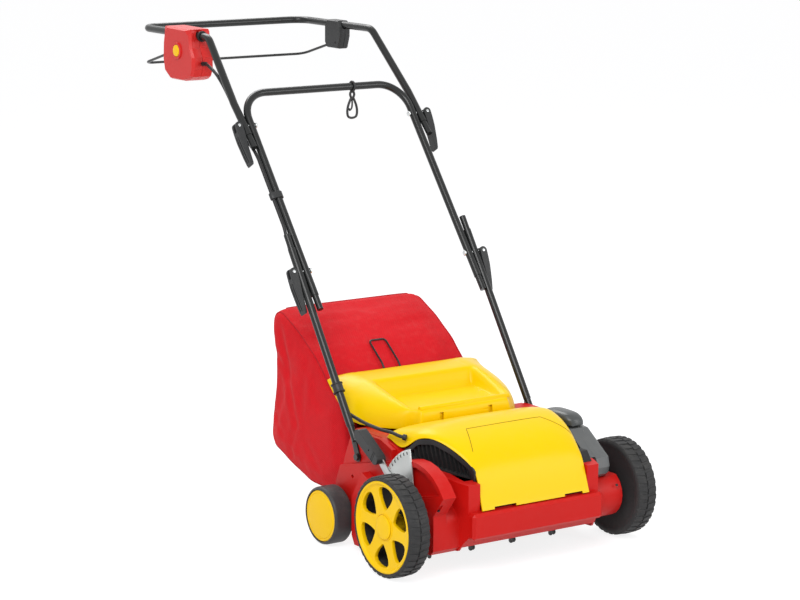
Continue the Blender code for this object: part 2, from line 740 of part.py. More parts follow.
def flap_row(y, rim, beyond, edge, floor):
    wide = WORK_HALF + beyond
    rail = min(FLAP_RAIL, wide * 0.85)
    crest = min(rail + 0.018, wide * 0.92)
    half = [(wide, edge), (wide - (wide - crest) * 0.10, edge + (rim - edge) * 0.22),
            (crest + (wide - crest) * 0.35, edge + (rim - edge) * 0.78), (crest, rim),
            (rail + 0.006, rim), (rail, floor), (rail * 0.4, floor)]
    left = [(-x, y, z) for x, z in half]
    right = [(x, y, z) for x, z in reversed(half)]
    return left + right


def rear_flap(mat):
    rows = [flap_row(*station) for station in FLAP_STATIONS]
    flap = shell("rear_flap", rows, FLAP_WALL, mat)
    flap.location = (0, HINGE_Y, HINGE_Z)
    for v in flap.data.vertices:
        v.co -= Vector((0, HINGE_Y, HINGE_Z))
    for x, name in ((-KNUCKLE_X, "left"), (0.0, "middle"), (KNUCKLE_X, "right")):
        join(flap, prism_x(f"flap_knuckle_{name}",
                           arc((HINGE_Y, HINGE_Z), KNUCKLE_R, math.pi, 2 * math.pi, 6)
                           + [(HINGE_Y + 0.004, 0.2750), (HINGE_Y - 0.003, 0.2750)],
                           x - KNUCKLE_WIDTH / 2, x + KNUCKLE_WIDTH / 2))
    for x, name in ((-LUG_X, "left"), (LUG_X, "right")):
        cut(flap, box(f"flap_lug_gap_{name}", x - LUG_GAP / 2, x + LUG_GAP / 2,
                      0.130, HINGE_Y - 0.004, 0.230, HINGE_Z + 0.005))
    cut(flap, cylinder_x("flap_bore", (HINGE_Y, HINGE_Z), HINGE_ROD_R + GAP,
                         -FLAP_RAIL, FLAP_RAIL, sides=12))
    return smooth(flap, 35)


# Wheels

def window_outline(y0, z0, angle):
    """A fan-shaped gap between two spokes of the front rim."""
    points = []
    for radius, half in ((0.034, 4.0), (0.040, 11.0), (0.055, 16.5), (0.070, 17.0), (0.079, 12.5)):
        points.append((radius, -half))
    for radius, half in ((0.0805, 5.0), (0.079, 12.5), (0.070, 15.0), (0.055, 13.0), (0.040, 9.0),
                         (0.034, 4.0)):
        points.append((radius, half))
    return [polar((y0, z0), r, angle + math.radians(a)) for r, a in points]


def front_wheel(side, word, rubber, plastic, cap_mat):
    axle = (0.0, FRONT_R)
    inner = TRACK_OUT - FRONT_WIDTH
    pivot = (side * (inner + FRONT_WIDTH / 2), *axle)
    seat = FRONT_RIM_R + GAP
    bore = STUB_R + GAP
    disc = inner + DISC_RECESS
    wheel = turned(f"front_wheel_{word}", [
        (disc, bore), (disc, FRONT_RIM_R - 0.004), (inner, FRONT_RIM_R), (inner + 0.0015, FRONT_R - 0.002),
        (inner + 0.005, FRONT_R), (TRACK_OUT - 0.005, FRONT_R), (TRACK_OUT - 0.0015, FRONT_R - 0.002),
        (TRACK_OUT, seat + 0.002), (TRACK_OUT - 0.001, seat), (disc + DISC_THICK, seat),
        (disc + DISC_THICK, bore)], axle, rubber, FRONT_SIDES, side, pivot)
    back = disc + DISC_THICK + GAP
    web = TRACK_OUT - 0.012
    face = web + 0.0055
    trim = turned(f"wheel_trim_{word}", [
        (back, FRONT_RIM_R - RIM_WALL), (back, FRONT_RIM_R), (TRACK_OUT - 0.001, FRONT_RIM_R),
        (TRACK_OUT - 0.001, FRONT_RIM_R - 0.004), (web + 0.004, FRONT_RIM_R - 0.007),
        (face, HUB_R + 0.006), (face, bore), (back, bore), (back, HUB_R),
        (face - WEB_THICK, HUB_R + 0.002), (face - WEB_THICK, FRONT_RIM_R - RIM_WALL)],
        axle, plastic, FRONT_SIDES, side, pivot)
    for i in range(WINDOWS):
        cut(trim, prism_x(f"window_{word}_{i}",
                          window_outline(*axle, math.radians(75) + 2 * math.pi * i / WINDOWS),
                          side * (back + 0.003), side * (TRACK_OUT + 0.01)))
    face += GAP
    cap = turned(f"front_hub_cap_{word}", [
        (face, 0.0), (face, HUB_CAP_R), (face + 0.0025, HUB_CAP_R),
        (face + 0.0045, HUB_CAP_R * 0.7), (face + 0.005, 0.0)], axle, cap_mat, 24, side, pivot)
    merge_axis(cap)
    smooth(wheel)
    smooth(trim, 30)
    smooth(cap)


def merge_axis(obj):
    """Close the poles of a turned piece that reaches its own axis."""
    bm = bmesh.new()
    bm.from_mesh(obj.data)
    bmesh.ops.remove_doubles(bm, verts=bm.verts, dist=1e-6)
    bmesh.ops.delete(bm, geom=[e for e in bm.edges if not e.link_faces], context="EDGES")
    bmesh.ops.recalc_face_normals(bm, faces=bm.faces)
    bm.to_mesh(obj.data)
    bm.free()


def rear_wheel(side, word, rubber, plastic):
    axle = (REAR_Y, REAR_R)
    inner = REAR_OUT - REAR_WIDTH
    pivot = (side * (inner + REAR_WIDTH / 2), *axle)
    seat = REAR_HUB_R + GAP
    face = REAR_OUT - 0.008
    tyre = turned(f"rear_tyre_{word}", [
        (inner, seat), (inner, REAR_R - 0.003), (inner + 0.003, REAR_R), (REAR_OUT - 0.005, REAR_R),
        (REAR_OUT - 0.002, REAR_R - 0.002), (REAR_OUT - 0.002, REAR_FACE_R + GAP),
        (face - GAP, REAR_FACE_R + GAP), (face - GAP, seat)], axle, rubber, REAR_SIDES, side, pivot)
    bore = REAR_AXLE_R + GAP
    wheel = turned(f"rear_wheel_{word}", [
        (inner + 0.001, bore), (inner + 0.001, REAR_HUB_R), (face, REAR_HUB_R), (face, REAR_FACE_R),
        (REAR_OUT - 0.003, REAR_FACE_R), (REAR_OUT - 0.0005, REAR_FACE_R - 0.006),
        (REAR_OUT, 0.020), (REAR_OUT, 0.0), (REAR_OUT - 0.004, 0.0), (REAR_OUT - 0.004, bore)],
        axle, plastic, REAR_SIDES, side, pivot)
    merge_axis(wheel)
    smooth(tyre)
    smooth(wheel)


def crank_axle(mat):
    pivot = (0, CRANK_Y, CRANK_Z)
    arm_in = FENDER_OUT + 2 * (SECTOR_THICK + LEVER_THICK) + 0.001
    crank = cylinder_x("crank_axle", (CRANK_Y, CRANK_Z), CRANK_R, -arm_in - 0.001, arm_in + 0.001,
                       mat, 20, pivot)
    for side, word in ((-1, "left"), (1, "right")):
        arm = prism_x(f"crank_arm_{word}", arm_outline((CRANK_Y, CRANK_Z), (0, FRONT_R), 0.013, 0.011),
                      side * arm_in, side * (arm_in + CRANK_ARM))
        stub = cylinder_x(f"crank_stub_{word}", (0, FRONT_R), STUB_R, side * (arm_in + 0.001),
                          side * (TRACK_OUT - 0.0080), sides=16)
        join(crank, arm, stub)
    return smooth(crank)


def arm_outline(a, b, ra, rb, steps=8):
    """The outline of a link with round ends."""
    angle = math.atan2(b[1] - a[1], b[0] - a[0])
    quarter = math.pi / 2
    return (arc(a, ra, angle + quarter, angle + 3 * quarter, steps)
            + arc(b, rb, angle - quarter, angle + quarter, steps))


def ribbon_outline(points, width):
    """A band of a width along an open polyline in the side plane."""
    left, right = [], []
    for i, p in enumerate(points):
        before = points[max(i - 1, 0)]
        after = points[min(i + 1, len(points) - 1)]
        angle = math.atan2(after[1] - before[1], after[0] - before[0])
        left.append(polar(p, width / 2, angle + math.pi / 2))
        right.append(polar(p, width / 2, angle - math.pi / 2))
    return left + right[::-1]


def height_lever(steel_mat, grip_mat):
    pivot = (0, CRANK_Y, CRANK_Z)
    centre = (CRANK_Y, CRANK_Z)
    x_in = -(FENDER_OUT + SECTOR_THICK + 2 * FREE)
    x_out = x_in - LEVER_THICK
    bend = polar(centre, LEVER_R, LEVER_ANGLE)
    angle = math.atan2(GRIP_END[1] - GRIP_START[1], GRIP_END[0] - GRIP_START[0])
    points = [polar(centre, 0.014, LEVER_ANGLE), (bend[0] - 0.004, bend[1] - 0.003),
              (bend[0] + 0.004, bend[1] + 0.004), along(GRIP_START, angle, 0.006),
              along(GRIP_START, angle, 0.045)]
    lever = prism_x("height_lever", ribbon_outline(points, LEVER_WIDTH), x_in, x_out, steel_mat, pivot)
    join(lever, cylinder_x("lever_hub", centre, 0.019, x_in, x_out, sides=20))
    cut(lever, cylinder_x("lever_bore", centre, CRANK_R + GAP, x_in + 0.01, x_out - 0.01, sides=20))
    outline = arm_outline(GRIP_START, GRIP_END, GRIP_WIDTH * 0.45, GRIP_WIDTH / 2, 6)
    grip = prism_x("height_grip", outline, -GRIP_IN, -GRIP_IN - GRIP_THICK, grip_mat, pivot)
    sleeve = points[2:4] + [along(points[4], angle, GAP)]
    cut(grip, prism_x("grip_sleeve", ribbon_outline(sleeve, LEVER_WIDTH + 2 * GAP),
                      x_in + GAP, x_out - GAP))
    return lever, grip


def sector_plate(mat):
    centre = (CRANK_Y, CRANK_Z)
    outline = (arc(centre, SECTOR_R, SECTOR_FROM, SECTOR_TO, 10)
               + [(0.002, 0.195), (-0.005, 0.150), (0.020, 0.135), (0.055, 0.150)])
    plate = prism_x("sector_plate", outline, -FENDER_OUT - FREE,
                    -FENDER_OUT - FREE - SECTOR_THICK, mat)
    for i in range(NOTCHES):
        angle = LEVER_ANGLE + i * NOTCH_STEP
        a = polar(centre, SECTOR_R - NOTCH_DEPTH, angle)
        b = polar(centre, SECTOR_R + 0.004, angle)
        cut(plate, prism_x(f"sector_notch_{i}", ribbon_outline([a, b], NOTCH_WIDTH),
                           -SKIRT_HALF, -SIDE_HALF))
    return plate


# Drive

def blade_outline(angle):
    """A two-armed tine with hooked tips and a round middle."""
    points = []
    for turn in (0, math.pi):
        a = angle + turn
        for radius, degrees in ((SPACER_R + 0.004, -38), (BLADE_R, -2.5), (BLADE_R, 5.0), (0.036, 12)):
            points.append(polar((SHAFT_Y, SHAFT_Z), radius, a + math.radians(degrees)))
    return points


def blade_set(mat):
    """All tines and the spacers between them, clamped into one stack with a bore."""
    pivot = (0, SHAFT_Y, SHAFT_Z)
    half = (BLADE_COUNT - 1) / 2 * BLADE_PITCH
    half_length = min(half + BLADE_PITCH / 2, WORK_HALF - 0.004)
    stack = cylinder_x("blade_set", (SHAFT_Y, SHAFT_Z), SPACER_R, -half_length, half_length, mat, 14,
                       pivot)
    for i in range(BLADE_COUNT):
        x = -half + i * BLADE_PITCH
        if abs(x) > half_length - BLADE_THICK:
            continue
        angle = math.radians(-90) + ((i - 1) % BLADE_PHASES) * math.pi / BLADE_PHASES
        join(stack, prism_x(f"tine_{i}", blade_outline(angle), x - BLADE_THICK / 2, x + BLADE_THICK / 2))
    return cut(stack, cylinder_x("blade_bore", (SHAFT_Y, SHAFT_Z), SHAFT_R + GAP, -0.2, 0.2, sides=14))


def bearing(side, word, mat):
    x0, x1 = WORK_HALF + 0.0005, WORK_HALF + BEARING_WIDTH
    profile = [(x0, SHAFT_R + GAP), (x0, BEARING_R), (x1, BEARING_R), (x1, SHAFT_R + GAP)]
    return turned(f"bearing_{word}", profile, (SHAFT_Y, SHAFT_Z), mat, 20, side)


def pulley(name, centre, radius, bore, mat, pivot):
    half = BELT_WIDTH / 2
    profile = [(BELT_X - half - 0.0025, bore), (BELT_X - half - 0.0025, radius + 0.003),
               (BELT_X - half - GAP, radius + 0.003), (BELT_X - half - GAP, radius),
               (BELT_X + half + GAP, radius), (BELT_X + half + GAP, radius + 0.003),
               (BELT_X + half + 0.0025, radius + 0.003), (BELT_X + half + 0.0025, bore)]
    return turned(name, profile, centre, mat, 20, 1, pivot)


def belt_loop(radius_small, radius_large):
    """The outline of a belt round the motor pulley and the blade pulley."""
    top, low = (MOTOR_Y, MOTOR_Z), (SHAFT_Y, SHAFT_Z)
    dy, dz = low[0] - top[0], low[1] - top[1]
    lean = math.atan2(dz, dy)
    spread = math.acos((radius_small - radius_large) / math.hypot(dy, dz))
    steps = 12
    small = radius_small / math.cos((math.pi - spread) / steps)
    large = radius_large / math.cos(spread / steps)
    return (arc(top, small, lean + spread, lean + 2 * math.pi - spread, steps)
            + arc(low, large, lean - spread, lean + spread, steps))


def drive_belt(mat):
    x0, x1 = BELT_X - BELT_WIDTH / 2, BELT_X + BELT_WIDTH / 2
    inner = belt_loop(MOTOR_PULLEY_R + GAP, BLADE_PULLEY_R + GAP)
    outer = belt_loop(MOTOR_PULLEY_R + GAP + BELT_THICK, BLADE_PULLEY_R + GAP + BELT_THICK)
    rings = [[(x0, *p) for p in outer], [(x1, *p) for p in outer],
             [(x1, *p) for p in inner], [(x0, *p) for p in inner]]
    return loft("drive_belt", rings, mat, closed=True)


def motor(body_mat, shaft_mat, fan_mat, pulley_mat, belt_mat):
    centre = (MOTOR_Y, MOTOR_Z)
    pivot = (0, *centre)
    body = cylinder_x("motor_body", centre, MOTOR_R, -MOTOR_HALF, MOTOR_HALF, body_mat, 24)
    join(body, box("motor_foot", -0.070, 0.070, MOTOR_Y - 0.030, MOTOR_Y + 0.030,
                   BAY_FLOOR + GAP, MOTOR_Z - MOTOR_R + 0.012))
    cut(body, cylinder_x("motor_bore", centre, MOTOR_SHAFT_R + GAP, -0.2, 0.2, sides=16))
    cylinder_x("motor_shaft", centre, MOTOR_SHAFT_R, -MOTOR_HALF - 0.022, BELT_X + 0.009,
               shaft_mat, 16, pivot)
    fan = cylinder_x("motor_fan", centre, 0.012, -MOTOR_HALF - 0.018, -MOTOR_HALF - 0.004,
                     fan_mat, 16, pivot)
    for i in range(7):
        a = 2 * math.pi * i / 7
        blade = ribbon_outline([polar(centre, 0.010, a), polar(centre, FAN_R, a + 0.15)], 0.0025)
        join(fan, prism_x(f"fan_blade_{i}", blade, -MOTOR_HALF - 0.017, -MOTOR_HALF - 0.005))
    cut(fan, cylinder_x("fan_bore", centre, MOTOR_SHAFT_R + GAP, -0.2, 0.0, sides=16))
    pulley("motor_pulley", centre, MOTOR_PULLEY_R, MOTOR_SHAFT_R + GAP, pulley_mat, pivot)
    drive_belt(belt_mat)


def blade_drive(shaft_mat, tine_mat, bearing_mat, pulley_mat):
    pivot = (0, SHAFT_Y, SHAFT_Z)
    cylinder_x("blade_shaft", (SHAFT_Y, SHAFT_Z), SHAFT_R, -WORK_HALF - BEARING_WIDTH - 0.004,
               BELT_X + 0.010, shaft_mat, 20, pivot)
    blade_set(tine_mat)
    bearing(-1, "left", bearing_mat)
    bearing(1, "right", bearing_mat)
    pulley("blade_pulley", (SHAFT_Y, SHAFT_Z), BLADE_PULLEY_R, SHAFT_R + GAP, pulley_mat, pivot)


# Handle

def upper_pin():
    return along(LOWER_PIN, MIDDLE_ANGLE, MIDDLE_REACH)


def upper_bend():
    return along(upper_pin(), UPPER_ANGLE, UPPER_REACH)


def rear_bar_y():
    return upper_bend()[0] + RETURN_LENGTH


def lower_tube(side, word, mat):
    slope = (LOWER_PIN[1] - LOWER_FOOT_Z) / math.sin(LOWER_ANGLE)
    top = along(LOWER_PIN, LOWER_ANGLE, LOWER_TOP)
    foot = along(LOWER_PIN, LOWER_ANGLE + math.pi, slope)
    path = [Vector((side * OUTER_X, *p)) for p in (foot, top)]
    tube = pipe(f"lower_tube_{word}", path, TUBE_R, mat, TUBE_WALL, TUBE_SIDES)
    x0 = side * (UPPER_HALF + GAP)
    start = along(foot, LOWER_ANGLE, 0.018)
    low = (foot[0] - 0.004, foot[1] - 0.014)
    band = ribbon_outline([start, foot, low, FOOT_BOLT], 2 * FOOT_END_R * 0.83)
    tab = prism_x(f"foot_tab_{word}", band, x0, x0 + side * FOOT_THICK)
    end = cylinder_x(f"foot_end_{word}", FOOT_BOLT, FOOT_END_R, x0, x0 + side * FOOT_THICK, sides=16)
    join(tube, tab, end)
    cut(tube, cylinder_x(f"foot_hole_{word}", FOOT_BOLT, FOOT_BOLT_R + GAP, side * CORE_HALF,
                         side * SKIRT_HALF, sides=12),
        pin_hole(f"lower_hole_{word}", LOWER_PIN, side, OUTER_X))
    return tube


def pin_hole(name, pin, side, centre):
    reach = TUBE_R + 0.004
    return cylinder_x(name, pin, BOLT_R + GAP, side * (centre - reach), side * (centre + reach), sides=12)


def foot_bolt(side, word, mat):
    outer = UPPER_HALF + GAP + FOOT_THICK + GAP
    bolt = cylinder_x(f"foot_bolt_{word}", FOOT_BOLT, FOOT_BOLT_R, side * (UPPER_HALF - 0.0085),
                      side * (outer + 0.002), mat, 12)
    return join(bolt, cylinder_x(f"foot_bolt_head_{word}", FOOT_BOLT, FOOT_HEAD_R, side * outer,
                                 side * (outer + FOOT_HEAD), sides=6))


def middle_tube(mat):
    pivot = (0, *LOWER_PIN)
    end = along(LOWER_PIN, MIDDLE_ANGLE + math.pi, MIDDLE_STUB)
    top = along(LOWER_PIN, MIDDLE_ANGLE, MIDDLE_TOP)
    corners = [(-INNER_X, *end), (-INNER_X, *top), (INNER_X, *top), (INNER_X, *end)]
    tube = pipe("middle_tube", rounded(corners, MIDDLE_BEND, 5), TUBE_R, mat, TUBE_WALL,
                TUBE_SIDES, pivot)
    for side, word in ((-1, "left"), (1, "right")):
        cut(tube, pin_hole(f"middle_low_hole_{word}", LOWER_PIN, side, INNER_X),
            pin_hole(f"middle_high_hole_{word}", upper_pin(), side, INNER_X))
    return tube


def upper_tube(mat):
    pivot = (0, *upper_pin())
    end = along(upper_pin(), UPPER_ANGLE + math.pi, UPPER_STUB)
    bend = upper_bend()
    back = (rear_bar_y(), bend[1])
    straight = along(upper_pin(), UPPER_ANGLE, 0.060)
    left = [(-OUTER_X, *end), (-OUTER_X, *straight), (-RETURN_X, *bend), (-RETURN_X, *back)]
    right = [(-x, y, z) for x, y, z in reversed(left)]
    tube = pipe("upper_tube", rounded(left + right, UPPER_BEND, 3), TUBE_R, mat, TUBE_WALL,
                TUBE_SIDES, pivot)
    for side, word in ((-1, "left"), (1, "right")):
        cut(tube, pin_hole(f"upper_hole_{word}", upper_pin(), side, OUTER_X))
    return tube


def cam_clamp(pin, angle, side, words, lever_mat, bolt_mat):
    """A quick-release lever that hangs along the tube, and its bolt with a cross pin."""
    down = Vector((0, -math.cos(angle), -math.sin(angle)))
    normal = Vector((0, math.sin(angle), -math.cos(angle)))
    out = Vector((side, 0, 0))
    centre = Vector((side * (OUTER_X + CAM_OFFSET), *pin))
    seat = TUBE_R + FREE - CAM_OFFSET
    half = [(-seat * math.cos(a), seat * math.sin(a)) for a in [math.pi * i / 6 for i in range(7)]]
    outline = half + [(seat, CAM_LENGTH - 0.004), (seat + 0.003, CAM_LENGTH),
                      (-0.003, CAM_LENGTH - 0.002), (0.0035, CAM_LENGTH * 0.72),
                      (0.0085, CAM_LENGTH * 0.40)]

    def place(x, t, n):
        return centre + out * x + down * t + normal * n

    rings = [[place(x, t, n) for x, t in outline] for n in (-CAM_WIDTH / 2, CAM_WIDTH / 2)]
    lever = loft(f"cam_lever_{words}", rings, lever_mat, centre)
    slot_half = BOLT_R + 0.0008
    mouth = [(-0.02, -0.02), (-0.02, 0.016), (0.0038, 0.016), (0.02, 0.008), (0.02, -0.02)]
    slot = [[place(x, t, n) for x, t in mouth] for n in (-slot_half, slot_half)]
    cut(lever, loft(f"cam_slot_{words}", slot, None),
        rod(f"cam_bore_{words}", place(0, 0, -0.02), place(0, 0, 0.02), CAM_PIN_R + GAP, sides=10))
    head_out = INNER_X - TUBE_R - GAP
    bolt = rod(f"cam_bolt_{words}", (side * (head_out - 0.001), *pin), centre, BOLT_R, bolt_mat, 12)
    join(bolt, rod(f"cam_bolt_head_{words}", (side * (head_out - BOLT_HEAD), *pin),
                   (side * head_out, *pin), BOLT_HEAD_R, sides=12),
         rod(f"cam_cross_pin_{words}", place(0, 0, -CAM_WIDTH / 2 + 0.001),
             place(0, 0, CAM_WIDTH / 2 - 0.001), CAM_PIN_R, sides=10))
    return lever, bolt


# Switch box, bail and cable fittings

def bail_slot(name, x):
    """Room behind the bail's pivot for its arm to swing."""
    reach = 0.070
    centre = (BAIL_Y, BAIL_Z)
    width = BAIL_WIRE_R + 0.0012
    low = polar(centre, reach, BAIL_REST - math.radians(3))
    high = polar(centre, reach, BAIL_REST + BAIL_SWING + math.radians(3))
    outline = (arc(centre, width, math.radians(100), math.radians(255), 6)
               + [(low[0], low[1] - width), (high[0], high[1] + width)])
    return prism_x(name, outline, x - width, x + width)


def switch_box(mat):
    def level(share):
        return BOX_LOW + share * BOX_HEIGHT

    outline = [(BOX_FRONT + 0.012, level(0.036)), (BOX_FRONT + 0.030, BOX_LOW),
               (BOX_BACK - 0.030, BOX_LOW), (BOX_BACK - 0.006, level(0.143)),
               (BOX_BACK, level(0.375)), (BOX_BACK - 0.002, level(0.6875)),
               (BOX_BACK - 0.008, BOX_HIGH - 0.006), (BOX_BACK - 0.020, BOX_HIGH),
               (BOX_FRONT + 0.022, BOX_HIGH - 0.001), (BOX_FRONT + 0.006, BOX_HIGH - 0.012),
               (BOX_FRONT + 0.003, level(0.643)), (BOX_FRONT - 0.008, level(0.464)),
               (BOX_FRONT - 0.008, level(0.241)), (BOX_FRONT, level(0.098))]
    rings = [[(-BOX_IN, *p) for p in outline],
             [(-BOX_OUT + 0.006, *p) for p in outline],
             [(-BOX_OUT, *shrink(p, outline, 0.94)) for p in outline]]
    case = loft("switch_box", rings, mat)
    bend = upper_bend()
    cut(case,
        cylinder_x("button_well", (BUTTON_Y, BUTTON_Z), BUTTON_R + GAP, -BOX_OUT - 0.01,
                   -BOX_OUT + BUTTON_DEPTH, sides=20),
        rod("box_tube_bore", (-RETURN_X, BOX_FRONT - 0.03, bend[1]), (-RETURN_X, BOX_BACK + 0.03, bend[1]),
            TUBE_R + GAP, sides=16),
        bail_slot("box_bail_slot", -RETURN_X),
        rod("box_bail_bore", (-RETURN_X, BAIL_Y, BAIL_Z), (-RETURN_X - BAIL_STUB - 0.001, BAIL_Y, BAIL_Z),
            BAIL_WIRE_R + GAP, sides=12))
    return case


def shrink(p, outline, scale):
    cy = sum(q[0] for q in outline) / len(outline)
    cz = sum(q[1] for q in outline) / len(outline)
    return (cy + (p[0] - cy) * scale, cz + (p[1] - cz) * scale)


def safety_button(mat):
    centre = (BUTTON_Y, BUTTON_Z)
    inner = -BOX_OUT + BUTTON_DEPTH - BUTTON_TRAVEL - FREE
    button = turned("safety_button", [
        (-inner, 0.0), (-inner, BUTTON_R), (BOX_OUT + BUTTON_PROUD - 0.0015, BUTTON_R),
        (BOX_OUT + BUTTON_PROUD, BUTTON_R * 0.8), (BOX_OUT + BUTTON_PROUD, 0.0)],
        centre, mat, 20, -1, (-BOX_OUT, *centre))
    merge_axis(button)
    return smooth(button)


def bail_bearing(mat):
    y0, y1, z0, z1 = BEARING_BLOCK
    outline = [(y0 + 0.012, z0), (y1 - 0.010, z0), (y1, z0 + 0.012), (y1, z1 - 0.014),
               (y1 - 0.012, z1), (y0 + 0.012, z1), (y0, z1 - 0.014), (y0, z0 + 0.030)]
    x0, x1 = RETURN_X - BEARING_BLOCK_HALF, RETURN_X + BEARING_BLOCK_HALF
    rings = [[(x0, *shrink(p, outline, 0.94)) for p in outline], [(x0 + 0.004, *p) for p in outline],
             [(x1 - 0.004, *p) for p in outline], [(x1, *shrink(p, outline, 0.94)) for p in outline]]
    block = loft("bail_bearing", rings, mat)
    bend = upper_bend()
    return cut(block,
               rod("bearing_tube_bore", (RETURN_X, y0 - 0.03, bend[1]), (RETURN_X, y1 + 0.03, bend[1]),
                   TUBE_R + GAP, sides=16),
               bail_slot("bearing_bail_slot", RETURN_X),
               rod("bearing_bail_bore", (RETURN_X, BAIL_Y, BAIL_Z),
                   (RETURN_X + BAIL_STUB + 0.001, BAIL_Y, BAIL_Z), BAIL_WIRE_R + GAP, sides=12))


def bail_wire(mat):
    far = polar((BAIL_Y, BAIL_Z), BAIL_REACH, BAIL_REST)
    pts = [(-RETURN_X - BAIL_STUB, BAIL_Y, BAIL_Z), (-RETURN_X, BAIL_Y, BAIL_Z), (-RETURN_X, *far),
           (RETURN_X, *far), (RETURN_X, BAIL_Y, BAIL_Z), (RETURN_X + BAIL_STUB, BAIL_Y, BAIL_Z)]
    ends = rounded(pts[:3], BAIL_WIRE_R * 1.2, 2)[:-1]
    corners = rounded(pts[1:5], 0.022, 4)[1:-1]
    tail = rounded(pts[3:], BAIL_WIRE_R * 1.2, 2)[1:]
    return pipe("bail_wire", ends + corners + tail, BAIL_WIRE_R, mat, None, 8, (0, BAIL_Y, BAIL_Z))


def cable_hook(mat):
    """The strain relief that hangs on the middle tube's cross bar."""
    bar = along(LOWER_PIN, MIDDLE_ANGLE, MIDDLE_TOP)
    y, z = bar
    pivot = (HOOK_X, y, z)
    ring = cylinder_x("cable_hook", bar, TUBE_R + 0.0035, HOOK_X - 0.006, HOOK_X + 0.006, mat, 16, pivot)
    outer = [(0.004, -0.010), (0.004, -0.022), (0.015, -0.048), (0.014, -0.060), (0.004, -0.068),
             (-0.004, -0.068), (-0.014, -0.060), (-0.015, -0.048), (-0.004, -0.022), (-0.004, -0.010)]
    inner = [(0.0, -0.029), (0.0105, -0.049), (0.010, -0.057), (0.003, -0.0625), (-0.003, -0.0625),
             (-0.010, -0.057), (-0.0105, -0.049)]

    def plate(name, pts, half):
        rings = [[(HOOK_X + x, y + d, z + h) for x, h in pts] for d in (-half, half)]
        return loft(name, rings, None)

    join(ring, plate("hook_loop", outer, 0.003))
    cut(ring, plate("hook_eye", inner, 0.01),
        cylinder_x("hook_bore", bar, TUBE_R + GAP, HOOK_X - 0.02, HOOK_X + 0.02, sides=16))
    join(ring, plate("hook_tongue", [(0.002, -0.024), (0.002, -0.046), (-0.002, -0.046), (-0.002, -0.024)],
                     0.0025))
    return ring


def lead_routes():
    """The lead's three stretches: on the upper loop, on the middle tube, on the lower tube."""
    off = TUBE_R + LEAD_R + GAP
    top, low = upper_pin(), LOWER_PIN

    def beside(pin, angle, s, lift=off):
        p = along(pin, angle, s)
        return (-LEAD_X, p[0] + lift * math.sin(angle), p[1] - lift * math.cos(angle))

    meet_up = MIDDLE_REACH - UPPER_STUB - LEAD_PAST_TUBE
    meet_low = LOWER_TOP + LEAD_PAST_TUBE
    upper = [(-RETURN_X, BOX_FRONT - 0.0085, BAR_Z - 0.058),
             (-RETURN_X, BOX_FRONT - 0.022, BAR_Z - 0.057),
             beside(top, UPPER_ANGLE, 0.155, off + 0.006), beside(top, UPPER_ANGLE, 0.110),
             beside(top, UPPER_ANGLE, 0.060), beside(top, UPPER_ANGLE, 0.010),
             beside(top, UPPER_ANGLE, -0.018, off + 0.001),
             beside(low, MIDDLE_ANGLE, MIDDLE_REACH - UPPER_STUB - 0.006, off + 0.001),
             beside(low, MIDDLE_ANGLE, meet_up + 0.030, 0.004),
             beside(low, MIDDLE_ANGLE, meet_up + 0.008, 0.0),
             beside(low, MIDDLE_ANGLE, meet_up + GAP / 2, 0.0)]
    middle = [beside(low, MIDDLE_ANGLE, meet_up - GAP / 2, 0.0),
              beside(low, MIDDLE_ANGLE, CLIP_REACH, 0.0),
              beside(low, MIDDLE_ANGLE, meet_low + GAP / 2, 0.0)]
    along_low = (LOWER_PIN[1] - CLAMP_Z) / math.sin(LOWER_ANGLE)
    start, end = grommet_line()
    lower = [beside(low, MIDDLE_ANGLE, meet_low - GAP / 2, 0.0),
             beside(low, MIDDLE_ANGLE, meet_low - 0.008, 0.0),
             beside(low, MIDDLE_ANGLE, meet_low - 0.030, 0.004),
             beside(low, LOWER_ANGLE, LOWER_TOP + 0.004, off + 0.001),
             beside(low, LOWER_ANGLE, 0.030, off + 0.0005), beside(low, LOWER_ANGLE, 0.0),
             beside(low, LOWER_ANGLE, -along_low * 0.5), beside(low, LOWER_ANGLE, -along_low),
             beside(low, LOWER_ANGLE, -along_low - 0.030),
             (-0.2095, 0.256, 0.2635), (-0.2040, 0.232, 0.2555), (-0.2060, 0.192, 0.2525),
             (-0.2080, 0.141, 0.2520), (-0.2095, 0.100, 0.2545),
             tuple(start + (start - end) * 0.7), tuple(start)]
    return upper, middle, lower


def grommet_line():
    """Where the lead meets the grommet, and where the grommet passes the hood."""
    start = Vector((-WORK_HALF - 0.036, 0.072, 0.2500))
    end = start + Vector((0.62, -0.76, -0.18)).normalized() * GROMMET_LENGTH
    return start, end


def lead_grommet(mat):
    start, end = grommet_line()
    direction = (end - start).normalized()
    return rod("lead_grommet", start + direction * GAP, end + direction * 0.006,
               GROMMET_R - 0.0012, mat, 10)


